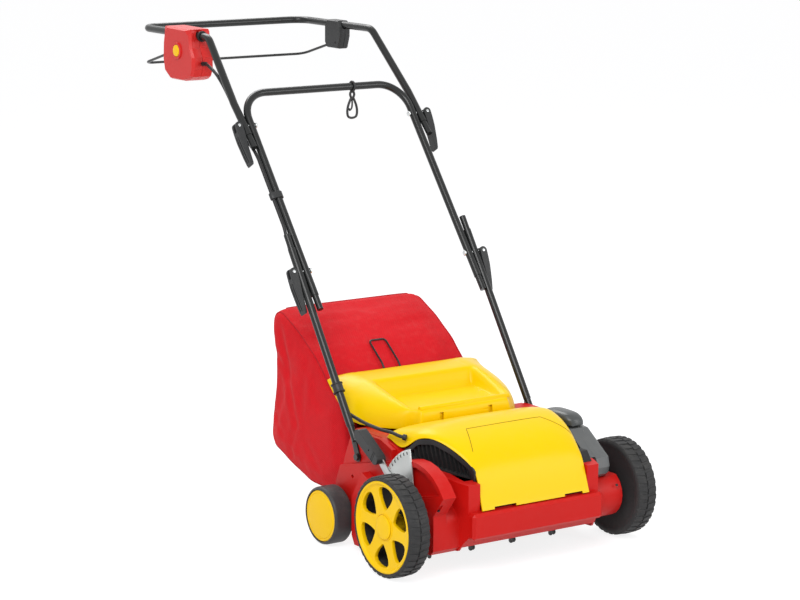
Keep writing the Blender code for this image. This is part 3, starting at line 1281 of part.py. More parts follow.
def tube_clip(name, centre, angle, length, reach_x, reach_n, mat, pivot):
    """A plastic clip round a tube and the lead beside it."""
    direction = Vector((0, math.cos(angle), math.sin(angle)))
    normal = Vector((0, math.sin(angle), -math.cos(angle)))
    middle = Vector(centre)
    toward = Vector((reach_x, 0, 0)) + normal * reach_n
    far = middle + toward
    side_way = direction.cross(toward.normalized())
    ra, rb = TUBE_R + 0.003, LEAD_R + 0.0028
    ring = []
    for i in range(9):
        a = math.pi / 2 + math.pi * i / 8
        ring.append(middle + ra * (toward.normalized() * math.cos(a) + side_way * math.sin(a)))
    for i in range(7):
        a = -math.pi / 2 + math.pi * i / 6
        ring.append(far + rb * (toward.normalized() * math.cos(a) + side_way * math.sin(a)))
    rings = [[p + direction * s for p in ring] for s in (-length / 2, length / 2)]
    clip = loft(name, rings, mat, pivot)
    reach = direction * length
    cut(clip, rod(f"{name}_tube_bore", middle - reach, middle + reach, TUBE_R + GAP, sides=16),
        rod(f"{name}_lead_bore", far - reach, far + reach, LEAD_R + GAP, sides=12))
    return clip


def cable_clips(mat):
    on_middle = along(LOWER_PIN, MIDDLE_ANGLE, CLIP_REACH)
    tube_clip("cable_clip", (-INNER_X, *on_middle), MIDDLE_ANGLE, 0.014, INNER_X - LEAD_X, 0.0, mat,
              (0, *LOWER_PIN))
    slope = (LOWER_PIN[1] - CLAMP_Z) / math.sin(LOWER_ANGLE)
    on_lower = along(LOWER_PIN, LOWER_ANGLE + math.pi, slope)
    tube_clip("cable_clamp", (-OUTER_X, *on_lower), LOWER_ANGLE, 0.020, OUTER_X - LEAD_X,
              TUBE_R + LEAD_R + GAP, mat, (0, 0, 0))


# Collecting bag

BAG_SIDE = [(0.291, 0.098), (0.380, 0.064), (0.4485, 0.066), (0.600, 0.118), (0.611, 0.137),
            (0.592, 0.250), (0.584, 0.315), (0.598, 0.372), (0.592, 0.398), (0.566, 0.412),
            (0.500, 0.384), (0.436, 0.346), (0.393, 0.3120), (0.374, 0.2930), (0.3231, 0.2732)]
BAG_CENTRE = (0.46, 0.24)
BAG_ROUNDING = ((-1, 0.88), (-0.955, 0.945), (-0.86, 0.985), (-0.68, 1.0),
                (0.68, 1.0), (0.86, 0.985), (0.955, 0.945), (1, 0.88))


def bag_rows(half, inset):
    """Side outlines of the bag at stations across it, inset by a wall."""
    first, last = Vector(BAG_SIDE[0]), Vector(BAG_SIDE[-1])
    up_mouth = (last - first).normalized() * inset
    rows = []
    for share, scale in BAG_ROUNDING:
        row = []
        for y, z in BAG_SIDE:
            away = Vector((y, z)) - Vector(BAG_CENTRE)
            p = Vector(BAG_CENTRE) + away * scale - away.normalized() * inset * 1.2
            row.append((half * share, p.x, p.y))
        row[0] = (half * share, *(first + up_mouth))
        row[-1] = (half * share, *(last - up_mouth))
        rows.append(row)
    return rows


def bag_fabric(mat):
    """The bag as one skin, open at the mouth: outer rows, then inner rows."""
    outer = bag_rows(BAG_HALF, 0.0)
    inner = bag_rows(BAG_HALF - BAG_WALL, BAG_WALL)
    count, size = len(outer), len(BAG_SIDE)
    verts = [p for row in outer + inner for p in row]

    def at(layer, i, j):
        return (layer * count + i) * size + j

    faces = []
    for layer in (0, 1):
        faces += [(at(layer, i, j), at(layer, i, j + 1), at(layer, i + 1, j + 1), at(layer, i + 1, j))
                  for i in range(count - 1) for j in range(size - 1)]
        faces += [tuple(at(layer, i, j) for j in range(size)) for i in (0, count - 1)]
    for j in (0, size - 1):
        faces += [(at(0, i, j), at(0, i + 1, j), at(1, i + 1, j), at(1, i, j)) for i in range(count - 1)]
    faces += [(at(0, i, 0), at(0, i, size - 1), at(1, i, size - 1), at(1, i, 0)) for i in (0, count - 1)]
    return smooth(from_faces("bag_fabric", verts, faces, mat), 45)


def bag_frame(mat):
    low, high = BAG_MOUTH_LOW, BAG_MOUTH_HIGH
    half = BAG_FRAME_HALF
    corners = [(-half, *low), (-half, *high), (half, *high), (half, *low)]
    path = rounded([(0.0, *low)] + corners + [(0.0, *low)], 0.018, 3)
    rings = tube_rings(path[:-1], BAG_FRAME_R, 8)
    return smooth(loft("bag_frame", rings, mat, closed=True))


def bag_handle(mat):
    x0, x1 = BAG_WIRE_X - BAG_WIRE_HALF, BAG_WIRE_X + BAG_WIRE_HALF
    foot = (BAG_MOUTH_HIGH[0], BAG_MOUTH_HIGH[1] + BAG_FRAME_R + BAG_WIRE_R + GAP)
    rise = (foot[0] + 0.004, foot[1] + 0.0016)
    dip = (0.3716, 0.3032)
    knee = (0.3868, 0.3224)
    tip = (0.4355, 0.3600)
    path = [(x0, *foot), (x0, *rise), (x0, *dip), (x0, *knee), (x0, *tip),
            (x1, *tip), (x1, *knee), (x1, *dip), (x1, *rise), (x1, *foot)]
    return pipe("bag_handle", rounded(path, 0.006, 2), BAG_WIRE_R, mat, None, 8)


def build():
    red = material("chassis_red", RED, 0.35)
    yellow = material("cover_yellow", YELLOW, 0.3)
    chassis_housing(red)
    motor_cover(yellow)
    air_grille(material("grille_black", BLACK, 0.5))
    belt_cover(material("belt_cover_grey", DARK_GREY, 0.4))
    motor_end_cap(material("end_cap_grey", DARK_GREY, 0.4))
    rear_flap(material("flap_yellow", YELLOW, 0.3))
    rod("flap_hinge_rod", (-HINGE_ROD_HALF, HINGE_Y, HINGE_Z), (HINGE_ROD_HALF, HINGE_Y, HINGE_Z),
        HINGE_ROD_R, steel("hinge_steel"), 12)
    motor(material("motor_grey", (0.25, 0.26, 0.27), 0.4, 0.8), steel("motor_shaft_steel"),
          material("fan_black", BLACK, 0.5), steel("motor_pulley_steel"),
          material("belt_rubber", RUBBER, 0.7))
    blade_drive(steel("blade_shaft_steel"), material("tine_steel", (0.12, 0.12, 0.12), 0.45, 0.9),
                steel("bearing_steel"), steel("blade_pulley_steel"))
    rubber = material("tyre_black", RUBBER, 0.7)
    for side, word in ((-1, "left"), (1, "right")):
        front_wheel(side, word, rubber, material(f"rim_yellow_{word}", YELLOW, 0.3),
                    material(f"hub_cap_yellow_{word}", YELLOW, 0.3))
        rear_wheel(side, word, rubber, material(f"rear_wheel_yellow_{word}", YELLOW, 0.3))
    cylinder_x("rear_axle", (REAR_Y, REAR_R), REAR_AXLE_R, -REAR_OUT + 0.0045, REAR_OUT - 0.0045,
               steel("rear_axle_steel"), 16)
    crank_axle(steel("crank_steel"))
    height_lever(steel("lever_steel"), material("grip_black", DARK_GREY, 0.55))
    sector_plate(steel("sector_steel"))
    tube_black = material("tube_black", BLACK, 0.25)
    lever_black = material("cam_black", DARK_GREY, 0.45)
    for side, word in ((-1, "left"), (1, "right")):
        lower_tube(side, word, tube_black)
        foot_bolt(side, word, material(f"foot_bolt_black_{word}", BLACK, 0.4, 0.6))
        cam_clamp(LOWER_PIN, CAM_LOWER_ANGLE, side, f"lower_{word}", lever_black,
                  steel(f"cam_bolt_steel_low_{word}"))
        cam_clamp(upper_pin(), CAM_UPPER_ANGLE, side, f"upper_{word}", lever_black,
                  steel(f"cam_bolt_steel_up_{word}"))
    middle_tube(tube_black)
    upper_tube(tube_black)
    switch_box(material("switch_red", RED, 0.35))
    safety_button(material("button_yellow", YELLOW, 0.35))
    bail_bearing(lever_black)
    bail_wire(material("bail_black", BLACK, 0.3))
    cable_hook(lever_black)
    lead_mat = material("lead_rubber", RUBBER, 0.6)
    for name, points in zip(("lead_upper", "lead_middle", "lead_lower"), lead_routes()):
        cord(name, points, lead_mat)
    lead_grommet(material("grommet_rubber", RUBBER, 0.7))
    cable_clips(lever_black)
    bag_fabric(material("bag_red_cloth", FABRIC_RED, 0.9))
    bag_frame(material("bag_frame_black", BLACK, 0.4))
    bag_handle(material("bag_handle_black", BLACK, 0.4))


clear_scene()
datum = bpy.data.objects.new("front_axle_datum", None)
bpy.context.scene.collection.objects.link(datum)
REAR_REACH = rear_bar_y() + TUBE_R
datum.location = (0, (FRONT_OVERHANG - REAR_REACH) / 2, 0)
build()
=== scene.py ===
# Electric lawn scarifier, dressed on its frame: mouldings, tubes, wheels, cloth bag and studio.

import json
import math
import bpy
import bmesh
from mathutils import Matrix, Vector
from mathutils.bvhtree import BVHTree


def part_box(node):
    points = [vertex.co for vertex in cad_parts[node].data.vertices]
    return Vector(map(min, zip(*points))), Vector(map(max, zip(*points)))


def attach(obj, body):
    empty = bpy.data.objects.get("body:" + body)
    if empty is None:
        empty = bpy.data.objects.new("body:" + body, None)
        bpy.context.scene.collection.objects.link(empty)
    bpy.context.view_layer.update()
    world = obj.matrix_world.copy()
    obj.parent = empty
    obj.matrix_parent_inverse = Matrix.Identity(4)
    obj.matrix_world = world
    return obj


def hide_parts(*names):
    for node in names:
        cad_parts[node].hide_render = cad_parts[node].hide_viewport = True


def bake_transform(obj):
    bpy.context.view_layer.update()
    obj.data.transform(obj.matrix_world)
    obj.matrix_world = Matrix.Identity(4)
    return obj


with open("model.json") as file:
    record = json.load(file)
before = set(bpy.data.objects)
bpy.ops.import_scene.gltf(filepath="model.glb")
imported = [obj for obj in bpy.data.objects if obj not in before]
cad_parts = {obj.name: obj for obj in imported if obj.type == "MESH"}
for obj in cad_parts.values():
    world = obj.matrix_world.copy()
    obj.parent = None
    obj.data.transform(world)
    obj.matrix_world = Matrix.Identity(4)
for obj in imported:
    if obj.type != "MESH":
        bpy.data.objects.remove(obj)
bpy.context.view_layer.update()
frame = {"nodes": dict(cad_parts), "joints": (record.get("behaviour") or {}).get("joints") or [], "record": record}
nodes = frame["nodes"]
body_of_node = {node: body for body, members in frame["record"]["behaviour"]["bodies"].items()
                for node in members}
pivots = {joint["name"]: Vector(joint["pos_m"]) for joint in frame["joints"] if "pos_m" in joint}
scene = bpy.context.scene

# The front axle line lies this far from the middle of the footprint
AXLE_Y = -0.494054
SIDES = ((-1, "left"), (1, "right"))


def beside_axle(x, back, z):
    """A point given by its distance behind the front axle."""
    return Vector((x, back + AXLE_Y, z))


# Camera and studio

CAMERA_PLACE = (-3.0322, -4.5407, 1.4803)
CAMERA_HEADING = math.radians(-34.412)
CAMERA_PITCH = math.radians(90 - 10.862)
CAMERA_ROLL = math.radians(0.272)
CAMERA_LENS = 119.0
ROOM_LIGHT = 0.50
WHITE = (1, 1, 1, 1)


def set_camera():
    data = bpy.data.cameras.new("view_from_front_left")
    data.sensor_width = 36
    data.lens = CAMERA_LENS
    data.clip_end = 50
    camera = bpy.data.objects.new("view_from_front_left", data)
    scene.collection.objects.link(camera)
    turn = (Matrix.Rotation(CAMERA_HEADING, 4, "Z") @ Matrix.Rotation(CAMERA_PITCH, 4, "X")
            @ Matrix.Rotation(CAMERA_ROLL, 4, "Z"))
    camera.matrix_world = Matrix.Translation(CAMERA_PLACE) @ turn
    scene.camera = camera


def soft_lamp(name, place, target, width, height, power):
    data = bpy.data.lights.new(name, "AREA")
    data.shape = "RECTANGLE"
    data.size = width
    data.size_y = height
    data.energy = power
    lamp = bpy.data.objects.new(name, data)
    scene.collection.objects.link(lamp)
    lamp.location = place
    lamp.rotation_euler = (Vector(target) - Vector(place)).to_track_quat("-Z", "Y").to_euler()


def seen_by_eye_or_gloss(tree):
    """1 for camera, glossy and transmitted rays, which should all find the pale backdrop."""
    path = tree.nodes.new("ShaderNodeLightPath")
    eye = maths(tree, "MAXIMUM", path.outputs["Is Camera Ray"], path.outputs["Is Transmission Ray"])
    return maths(tree, "MAXIMUM", eye, path.outputs["Is Glossy Ray"])


def set_world():
    world = bpy.data.worlds.new("studio")
    scene.world = world
    world.use_nodes = True
    tree = world.node_tree
    tree.nodes.clear()
    out = tree.nodes.new("ShaderNodeOutputWorld")
    mix = tree.nodes.new("ShaderNodeMixShader")
    room, white = [tree.nodes.new("ShaderNodeBackground") for _ in range(2)]
    for ground, strength in ((room, ROOM_LIGHT), (white, 1.0)):
        ground.inputs["Color"].default_value = WHITE
        ground.inputs["Strength"].default_value = strength
    wire(tree, (seen_by_eye_or_gloss(tree), mix.inputs["Fac"]), (room.outputs[0], mix.inputs[1]),
         (white.outputs[0], mix.inputs[2]), (mix.outputs[0], out.inputs["Surface"]))


def set_floor():
    """White paper: it shows as white, takes the object's shadow and lights it as a mid grey would."""
    bpy.ops.object.select_all(action="DESELECT")
    bpy.ops.mesh.primitive_plane_add(size=40, location=(0, 0, -0.0006))
    floor = bpy.context.object
    floor.name = "studio_floor"
    paper = bpy.data.materials.new("pale_floor")
    paper.use_nodes = True
    tree = paper.node_tree
    matt = tree.nodes["Principled BSDF"]
    matt.inputs["Base Color"].default_value = (0.8, 0.8, 0.8, 1)
    matt.inputs["Roughness"].default_value = 0.9
    glow = tree.nodes.new("ShaderNodeEmission")
    glow.inputs["Strength"].default_value = 0.84
    shade = tree.nodes.new("ShaderNodeBsdfDiffuse")
    shade.inputs["Color"].default_value = (0.30, 0.30, 0.31, 1)
    both = tree.nodes.new("ShaderNodeAddShader")
    mix = tree.nodes.new("ShaderNodeMixShader")
    wire(tree, (glow.outputs[0], both.inputs[0]), (shade.outputs[0], both.inputs[1]),
         (seen_by_eye_or_gloss(tree), mix.inputs["Fac"]), (matt.outputs[0], mix.inputs[1]),
         (both.outputs[0], mix.inputs[2]), (mix.outputs[0], tree.nodes["Material Output"].inputs["Surface"]))
    floor.data.materials.append(paper)


def set_studio():
    scene.view_settings.view_transform = "Standard"
    set_world()
    set_floor()
    soft_lamp("lamp_over_left", (-2.6, -2.6, 3.4), (0, 0, 0.3), 2.6, 2.2, 135)
    soft_lamp("lamp_front_right", (2.4, -3.4, 1.8), (0, -0.2, 0.3), 1.8, 1.8, 40)
    soft_lamp("lamp_top_back", (0.4, 2.2, 3.2), (0, 0, 0.4), 2.4, 1.6, 75)


# Finishes

def group_of(name, sockets):
    """An empty node group with its sockets: (name, kind, default or None for an output)."""
    tree = bpy.data.node_groups.new(name, "ShaderNodeTree")
    for label, kind, value in sockets:
        way = "OUTPUT" if value is None else "INPUT"
        socket = tree.interface.new_socket(label, in_out=way, socket_type="NodeSocket" + kind)
        if value is not None and kind != "Vector":
            socket.default_value = value
    return tree, tree.nodes.new("NodeGroupInput"), tree.nodes.new("NodeGroupOutput")


def wire(tree, *pairs):
    for a, b in pairs:
        tree.links.new(a, b)


def feed(tree, slot, value):
    """Links a socket to another one, or sets its own value."""
    if hasattr(value, "is_output"):
        tree.links.new(value, slot)
    else:
        slot.default_value = value


def maths(tree, operation, a, b=0.0):
    node = tree.nodes.new("ShaderNodeMath")
    node.operation = operation
    feed(tree, node.inputs[0], a)
    feed(tree, node.inputs[1], b)
    return node.outputs[0]


def noise(tree, vector, scale, detail=3.0, roughness=0.55):
    node = tree.nodes.new("ShaderNodeTexNoise")
    node.inputs["Detail"].default_value = detail
    node.inputs["Roughness"].default_value = roughness
    feed(tree, node.inputs["Scale"], scale)
    tree.links.new(vector, node.inputs["Vector"])
    return node.outputs["Fac"]


def spread(tree, value, low, high, out_low, out_high):
    node = tree.nodes.new("ShaderNodeMapRange")
    node.clamp = True
    tree.links.new(value, node.inputs["Value"])
    for label, number in (("From Min", low), ("From Max", high), ("To Min", out_low), ("To Max", out_high)):
        feed(tree, node.inputs[label], number)
    return node.outputs["Result"]


def make_grain():
    """The fine spark-eroded grain of a mould, with slow swells under it."""
    tree, ins, outs = group_of("mould_grain", [("Place", "Vector", 0), ("Size", "Float", 900.0),
                                               ("Height", "Float", None)])
    fine = noise(tree, ins.outputs["Place"], ins.outputs["Size"], 2.0, 0.6)
    cells = tree.nodes.new("ShaderNodeTexVoronoi")
    wire(tree, (ins.outputs["Place"], cells.inputs["Vector"]), (ins.outputs["Size"], cells.inputs["Scale"]))
    swell = noise(tree, ins.outputs["Place"], 22.0, 1.0)
    mixed = maths(tree, "ADD", maths(tree, "MULTIPLY", fine, 0.6),
                  maths(tree, "MULTIPLY", cells.outputs["Distance"], 0.4))
    wire(tree, (maths(tree, "ADD", mixed, maths(tree, "MULTIPLY", swell, 0.8)), outs.inputs["Height"]))
    return tree


def make_sheen():
    """Roughness that drifts with handling: faint smears and fine rubs."""
    tree, ins, outs = group_of("handled_sheen", [("Place", "Vector", 0), ("Roughness", "Float", 0.35),
                                                 ("Drift", "Float", 0.06), ("Result", "Float", None)])
    smear = noise(tree, ins.outputs["Place"], 14.0, 4.0, 0.6)
    rub = noise(tree, ins.outputs["Place"], 160.0, 2.0, 0.5)
    both = maths(tree, "ADD", maths(tree, "MULTIPLY", smear, 0.7), maths(tree, "MULTIPLY", rub, 0.3))
    centred = maths(tree, "MULTIPLY", maths(tree, "SUBTRACT", both, 0.5), ins.outputs["Drift"])
    wire(tree, (maths(tree, "ADD", ins.outputs["Roughness"], maths(tree, "MULTIPLY", centred, 2.0)),
                outs.inputs["Result"]))
    return tree


def make_tone():
    """A colour that drifts a little in depth over the piece."""
    tree, ins, outs = group_of("tone_drift", [("Place", "Vector", 0), ("Colour", "Color", WHITE),
                                              ("Drift", "Float", 0.04), ("Result", "Color", None)])
    cloud = noise(tree, ins.outputs["Place"], 9.0, 3.0)
    value = maths(tree, "ADD", 1.0, maths(tree, "MULTIPLY", maths(tree, "SUBTRACT", cloud, 0.5),
                                          ins.outputs["Drift"]))
    scale = tree.nodes.new("ShaderNodeHueSaturation")
    wire(tree, (ins.outputs["Colour"], scale.inputs["Color"]), (value, scale.inputs["Value"]),
         (scale.outputs["Color"], outs.inputs["Result"]))
    return tree


def make_dust():
    """A mask of dust in specks, mostly on faces turned up."""
    tree, ins, outs = group_of("dust_mask", [("Place", "Vector", 0), ("Amount", "Float", 0.3),
                                             ("Mask", "Float", None)])
    geometry = tree.nodes.new("ShaderNodeNewGeometry")
    split = tree.nodes.new("ShaderNodeSeparateXYZ")
    wire(tree, (geometry.outputs["Normal"], split.inputs[0]))
    upward = spread(tree, split.outputs["Z"], 0.1, 0.9, 0.25, 1.0)
    specks = spread(tree, noise(tree, ins.outputs["Place"], 60.0, 6.0, 0.7), 0.48, 0.72, 0.0, 1.0)
    wire(tree, (maths(tree, "MULTIPLY", maths(tree, "MULTIPLY", upward, specks), ins.outputs["Amount"]),
                outs.inputs["Mask"]))
    return tree


def make_weave():
    """Plain woven cloth laid over a solid from its three sides: thread height, and a mask of painted shade between
    threads mixed with random thread tone.
    """
    tree, ins, outs = group_of("woven_cloth", [("Place", "Vector", 0), ("Threads", "Float", 500.0),
                                               ("Height", "Float", None), ("Painted shade and tone", "Float", None)])
    place = tree.nodes.new("ShaderNodeSeparateXYZ")
    geometry = tree.nodes.new("ShaderNodeNewGeometry")
    facing = tree.nodes.new("ShaderNodeSeparateXYZ")
    wire(tree, (ins.outputs["Place"], place.inputs[0]), (geometry.outputs["Normal"], facing.inputs[0]))
    total = 0.0
    for u, v, across in (("Y", "Z", "X"), ("X", "Z", "Y"), ("X", "Y", "Z")):
        warp, weft = [maths(tree, "SINE", maths(tree, "MULTIPLY", place.outputs[way],
                                                maths(tree, "MULTIPLY", ins.outputs["Threads"], math.pi)))
                      for way in (u, v)]
        crossed = maths(tree, "MULTIPLY", warp, weft)
        share = maths(tree, "POWER", maths(tree, "ABSOLUTE", facing.outputs[across]), 4.0)
        total = maths(tree, "ADD", maths(tree, "MULTIPLY", crossed, share), total)
    uneven = noise(tree, ins.outputs["Place"], 90.0, 4.0, 0.65)
    wire(tree, (total, outs.inputs["Height"]),
         (maths(tree, "ADD", maths(tree, "MULTIPLY", total, 0.5), maths(tree, "MULTIPLY", uneven, 0.8)),
          outs.inputs["Painted shade and tone"]))
    return tree


def make_scuffs():
    """A mask of long shallow scratches and rubbed patches."""
    tree, ins, outs = group_of("scuff_mask", [("Place", "Vector", 0), ("Amount", "Float", 0.3),
                                              ("Mask", "Float", None)])
    stretched = tree.nodes.new("ShaderNodeMapping")
    stretched.inputs["Rotation"].default_value = (0.4, 0.7, 0.3)
    stretched.inputs["Scale"].default_value = (1, 14, 3)
    wire(tree, (ins.outputs["Place"], stretched.inputs["Vector"]))
    lines = spread(tree, noise(tree, stretched.outputs["Vector"], 55.0, 5.0, 0.7), 0.62, 0.70, 0.0, 1.0)
    where = spread(tree, noise(tree, ins.outputs["Place"], 11.0, 2.0), 0.50, 0.62, 0.0, 1.0)
    wire(tree, (maths(tree, "MULTIPLY", maths(tree, "MULTIPLY", lines, where), ins.outputs["Amount"]),
                outs.inputs["Mask"]))
    return tree


def use(tree, group, **values):
    node = tree.nodes.new("ShaderNodeGroup")
    node.node_tree = groups[group]
    for label, value in values.items():
        feed(tree, node.inputs[label], value)
    return node


def blank_finish(name):
    finish = bpy.data.materials.new(name)
    finish.use_nodes = True
    tree = finish.node_tree
    coords = tree.nodes.new("ShaderNodeTexCoord")
    return finish, tree, tree.nodes["Principled BSDF"], coords.outputs["Object"]


def blended(tree, mask, first, second):
    """The first colour, and the second where the mask is on."""
    mix = tree.nodes.new("ShaderNodeMix")
    mix.data_type = "RGBA"
    for slot, value in (("A", first), ("B", second)):
        feed(tree, mix.inputs[slot], value if hasattr(value, "is_output") else (*value, 1))
    tree.links.new(mask, mix.inputs["Factor"])
    return mix.outputs["Result"]


def raised(tree, shader, height, depth):
    bump = tree.nodes.new("ShaderNodeBump")
    bump.inputs["Distance"].default_value = depth
    wire(tree, (height, bump.inputs["Height"]), (bump.outputs["Normal"], shader.inputs["Normal"]))


def moulded_plastic(name, colour, roughness, shine=0.25, grain=900.0, depth=0.00002, dust=0.03, scuffs=0.15):
    """Moulded plastic with its grain, a soft drift of colour and gloss, dust and light scuffs."""
    finish, tree, shader, place = blank_finish(name)
    tinted = use(tree, "tone", Place=place, Colour=(*colour, 1), Drift=0.05)
    scuffed = blended(tree, use(tree, "scuffs", Place=place, Amount=scuffs).outputs["Mask"],
                      tinted.outputs["Result"], [0.75 * c + 0.05 for c in colour])
    dusty = blended(tree, use(tree, "dust", Place=place, Amount=dust).outputs["Mask"], scuffed,
                    (0.45, 0.42, 0.36))
    sheen = use(tree, "sheen", Place=place, Roughness=roughness, Drift=0.05)
    relief = use(tree, "grain", Place=place, Size=grain)
    wire(tree, (dusty, shader.inputs["Base Color"]), (sheen.outputs["Result"], shader.inputs["Roughness"]))
    raised(tree, shader, relief.outputs["Height"], depth)
    shader.inputs["Specular IOR Level"].default_value = shine
    return finish


def powder_coat(name, colour, roughness):
    """Baked paint on tube: even, a little orange-peeled, rubbed grey in places."""
    finish, tree, shader, place = blank_finish(name)
    tinted = use(tree, "tone", Place=place, Colour=(*colour, 1), Drift=0.3)
    rubbed = blended(tree, use(tree, "scuffs", Place=place, Amount=0.4).outputs["Mask"],
                     tinted.outputs["Result"], (0.03, 0.03, 0.032))
    sheen = use(tree, "sheen", Place=place, Roughness=roughness, Drift=0.08)
    wire(tree, (rubbed, shader.inputs["Base Color"]), (sheen.outputs["Result"], shader.inputs["Roughness"]))
    raised(tree, shader, noise(tree, place, 600.0, 2.0, 0.4), 0.00001)
    shader.inputs["Specular IOR Level"].default_value = 0.30
    shader.inputs["Coat Weight"].default_value = 0.15
    shader.inputs["Coat Roughness"].default_value = 0.12
    return finish


def zinc_steel(name, colour, roughness, metal=1.0):
    """Plated or blackened steel with fine drawn lines and dull stains."""
    finish, tree, shader, place = blank_finish(name)
    mapping = tree.nodes.new("ShaderNodeMapping")
    mapping.inputs["Scale"].default_value = (1, 1, 30)
    wire(tree, (place, mapping.inputs["Vector"]))
    lines = noise(tree, mapping.outputs["Vector"], 60.0, 4.0, 0.6)
    tinted = use(tree, "tone", Place=place, Colour=(*colour, 1), Drift=0.25)
    stained = blended(tree, use(tree, "dust", Place=place, Amount=0.25).outputs["Mask"],
                      tinted.outputs["Result"], [0.6 * c for c in colour])
    wire(tree, (stained, shader.inputs["Base Color"]),
         (spread(tree, lines, 0.3, 0.7, roughness - 0.07, roughness + 0.10), shader.inputs["Roughness"]))
    raised(tree, shader, lines, 0.00001)
    shader.inputs["Metallic"].default_value = metal
    return finish


def woven(name, colour):
    """Coated bag cloth: a plain weave, with painted shade between its threads and a random drift in thread tone.
    """
    finish, tree, shader, place = blank_finish(name)
    threads = use(tree, "weave", Place=place, Threads=430.0)
    tinted = use(tree, "tone", Place=place, Colour=(*colour, 1), Drift=0.12)
    # Painted shade: the colour darkens where the weave dips between threads, mixed with random thread tone.
    deep = blended(tree, spread(tree, threads.outputs["Painted shade and tone"], 0.0, 0.9, 0.55, 0.0),
                   tinted.outputs["Result"], [0.62 * c for c in colour])
    dusty = blended(tree, use(tree, "dust", Place=place, Amount=0.04).outputs["Mask"], deep,
                    (0.45, 0.36, 0.30))
    wire(tree, (dusty, shader.inputs["Base Color"]))
    raised(tree, shader, threads.outputs["Height"], 0.0002)
    shader.inputs["Roughness"].default_value = 0.78
    shader.inputs["Specular IOR Level"].default_value = 0.2
    shader.inputs["Sheen Weight"].default_value = 0.06
    shader.inputs["Sheen Tint"].default_value = (1.0, 0.35, 0.35, 1)
    return finish


# Modelling on the open piece

def only(piece):
    """Selects one object and nothing else."""
    bpy.ops.object.select_all(action="DESELECT")
    piece.select_set(True)
    bpy.context.view_layer.objects.active = piece


def edit(piece):
    """Opens a piece for editing with nothing selected."""
    only(piece)
    bpy.ops.object.mode_set(mode="EDIT")
    bpy.ops.mesh.select_mode(type="VERT")
    bpy.ops.mesh.select_all(action="DESELECT")


def start(primitive, name, **place):
    """A primitive at its size and place, open for editing with nothing selected."""
    bpy.ops.object.select_all(action="DESELECT")
    primitive(**place)
    piece = bpy.context.object
    piece.name = name
    bpy.ops.object.transform_apply(location=True, rotation=True, scale=True)
    edit(piece)
    return piece


def pick(test, kind="FACE"):
    """Selects the faces, edges or points of the open piece that pass a test."""
    bpy.ops.mesh.select_mode(type=kind)
    bpy.ops.mesh.select_all(action="DESELECT")
    piece = bpy.context.object
    shape = bmesh.from_edit_mesh(piece.data)
    for element in {"FACE": shape.faces, "EDGE": shape.edges, "VERT": shape.verts}[kind]:
        if test(element):
            element.select_set(True)
    if kind != "FACE":
        shape.select_flush(True)
    bmesh.update_edit_mesh(piece.data)


def push(value):
    """Extrudes what is selected."""
    bpy.ops.mesh.extrude_region_move(TRANSFORM_OT_translate={"value": value})


def whole():
    """Selects all of the open piece."""
    bpy.ops.mesh.select_all(action="SELECT")


def leave():
    """Closes the open piece as it is."""
    bpy.ops.object.mode_set(mode="OBJECT")


def resize(piece, scale, centre):
    """Scales all of a piece about a point and leaves it open."""
    edit(piece)
    whole()
    bpy.ops.transform.resize(value=scale, center_override=tuple(centre))


def close_edit():
    """Joins loose doubles, turns every face outwards and leaves the open piece."""
    whole()
    bpy.ops.mesh.remove_doubles(threshold=0.00002)
    bpy.ops.mesh.normals_make_consistent(inside=False)
    leave()
    return bpy.context.object


def set_points(piece, places):
    """Moves the open piece's points to new places, in order."""
    shape = bmesh.from_edit_mesh(piece.data)
    shape.verts.ensure_lookup_table()
    for point, place in zip(shape.verts, places):
        point.co = place
    bmesh.update_edit_mesh(piece.data)


def slab(name, outline, depth):
    """A flat outline of points, filled and pulled out to a thickness."""
    piece = start(bpy.ops.mesh.primitive_circle_add, name, vertices=len(outline), radius=0.01,
                  fill_type="NGON")
    set_points(piece, outline)
    whole()
    push(depth)
    return close_edit()


def side_slab(name, outline, x0, x1):
    """A (distance behind the front axle, height) outline carried from x0 to x1."""
    return slab(name, [beside_axle(x0, y, z) for y, z in outline], (x1 - x0, 0, 0))


def spun(name, profile, centre, side=1, sides=72):
    """A closed (x, radius) profile spun about the X line through centre; side -1 mirrors it."""
    axle = beside_axle(0, *centre)
    piece = start(bpy.ops.mesh.primitive_circle_add, name, vertices=len(profile), radius=0.01,
                  fill_type="NOTHING")
    set_points(piece, [axle + Vector((side * x, 0, r)) for x, r in profile])
    whole()
    bpy.ops.mesh.spin(steps=sides, angle=2 * math.pi, center=axle, axis=(1, 0, 0))
    whole()
    bpy.ops.mesh.remove_doubles(threshold=0.00002)
    bpy.ops.mesh.dissolve_degenerate(threshold=0.00001)
    return close_edit()


def bent_tube(name, corners, radius, bend=0.0, sides=20, wall=0.0, steps=8):
    """A round tube pulled along straight runs and spun round its bends, with filled ends."""
    corners = [Vector(corner) for corner in corners]
    heading = (corners[1] - corners[0]).normalized()
    piece = start(bpy.ops.mesh.primitive_circle_add, name, vertices=sides, radius=radius,
                  fill_type="NOTHING", location=corners[0],
                  rotation=heading.to_track_quat("Z", "Y").to_euler())
    whole()
    here = corners[0]
    for corner, after in zip(corners[1:-1], corners[2:]):
        out = (after - corner).normalized()
        angle = heading.angle(out)
        reach = bend * math.tan(angle / 2)
        push(corner - heading * reach - here)
        centre = corner + (out - heading).normalized() * (bend / math.cos(angle / 2))
        bpy.ops.mesh.spin(steps=steps, angle=angle, center=centre, axis=out.cross(heading).normalized())
        here, heading = corner + out * reach, out
    push(corners[-1] - here)
    whole()
    bpy.ops.mesh.fill_holes(sides=0)
    if wall:
        pick(lambda face: len(face.verts) == sides)
        bpy.ops.mesh.inset(thickness=wall, use_individual=True)
        shape = bmesh.from_edit_mesh(piece.data)
        ends = [face for face in shape.faces if face.select and len(face.verts) == sides]
        middles = [(face.calc_center_median(), face.normal.copy()) for face in ends]
        for middle, normal in middles:
            pick(lambda face: len(face.verts) == sides
                 and (face.calc_center_median() - middle).length < 0.0005)
            push(-normal * 4 * radius)
    return close_edit()


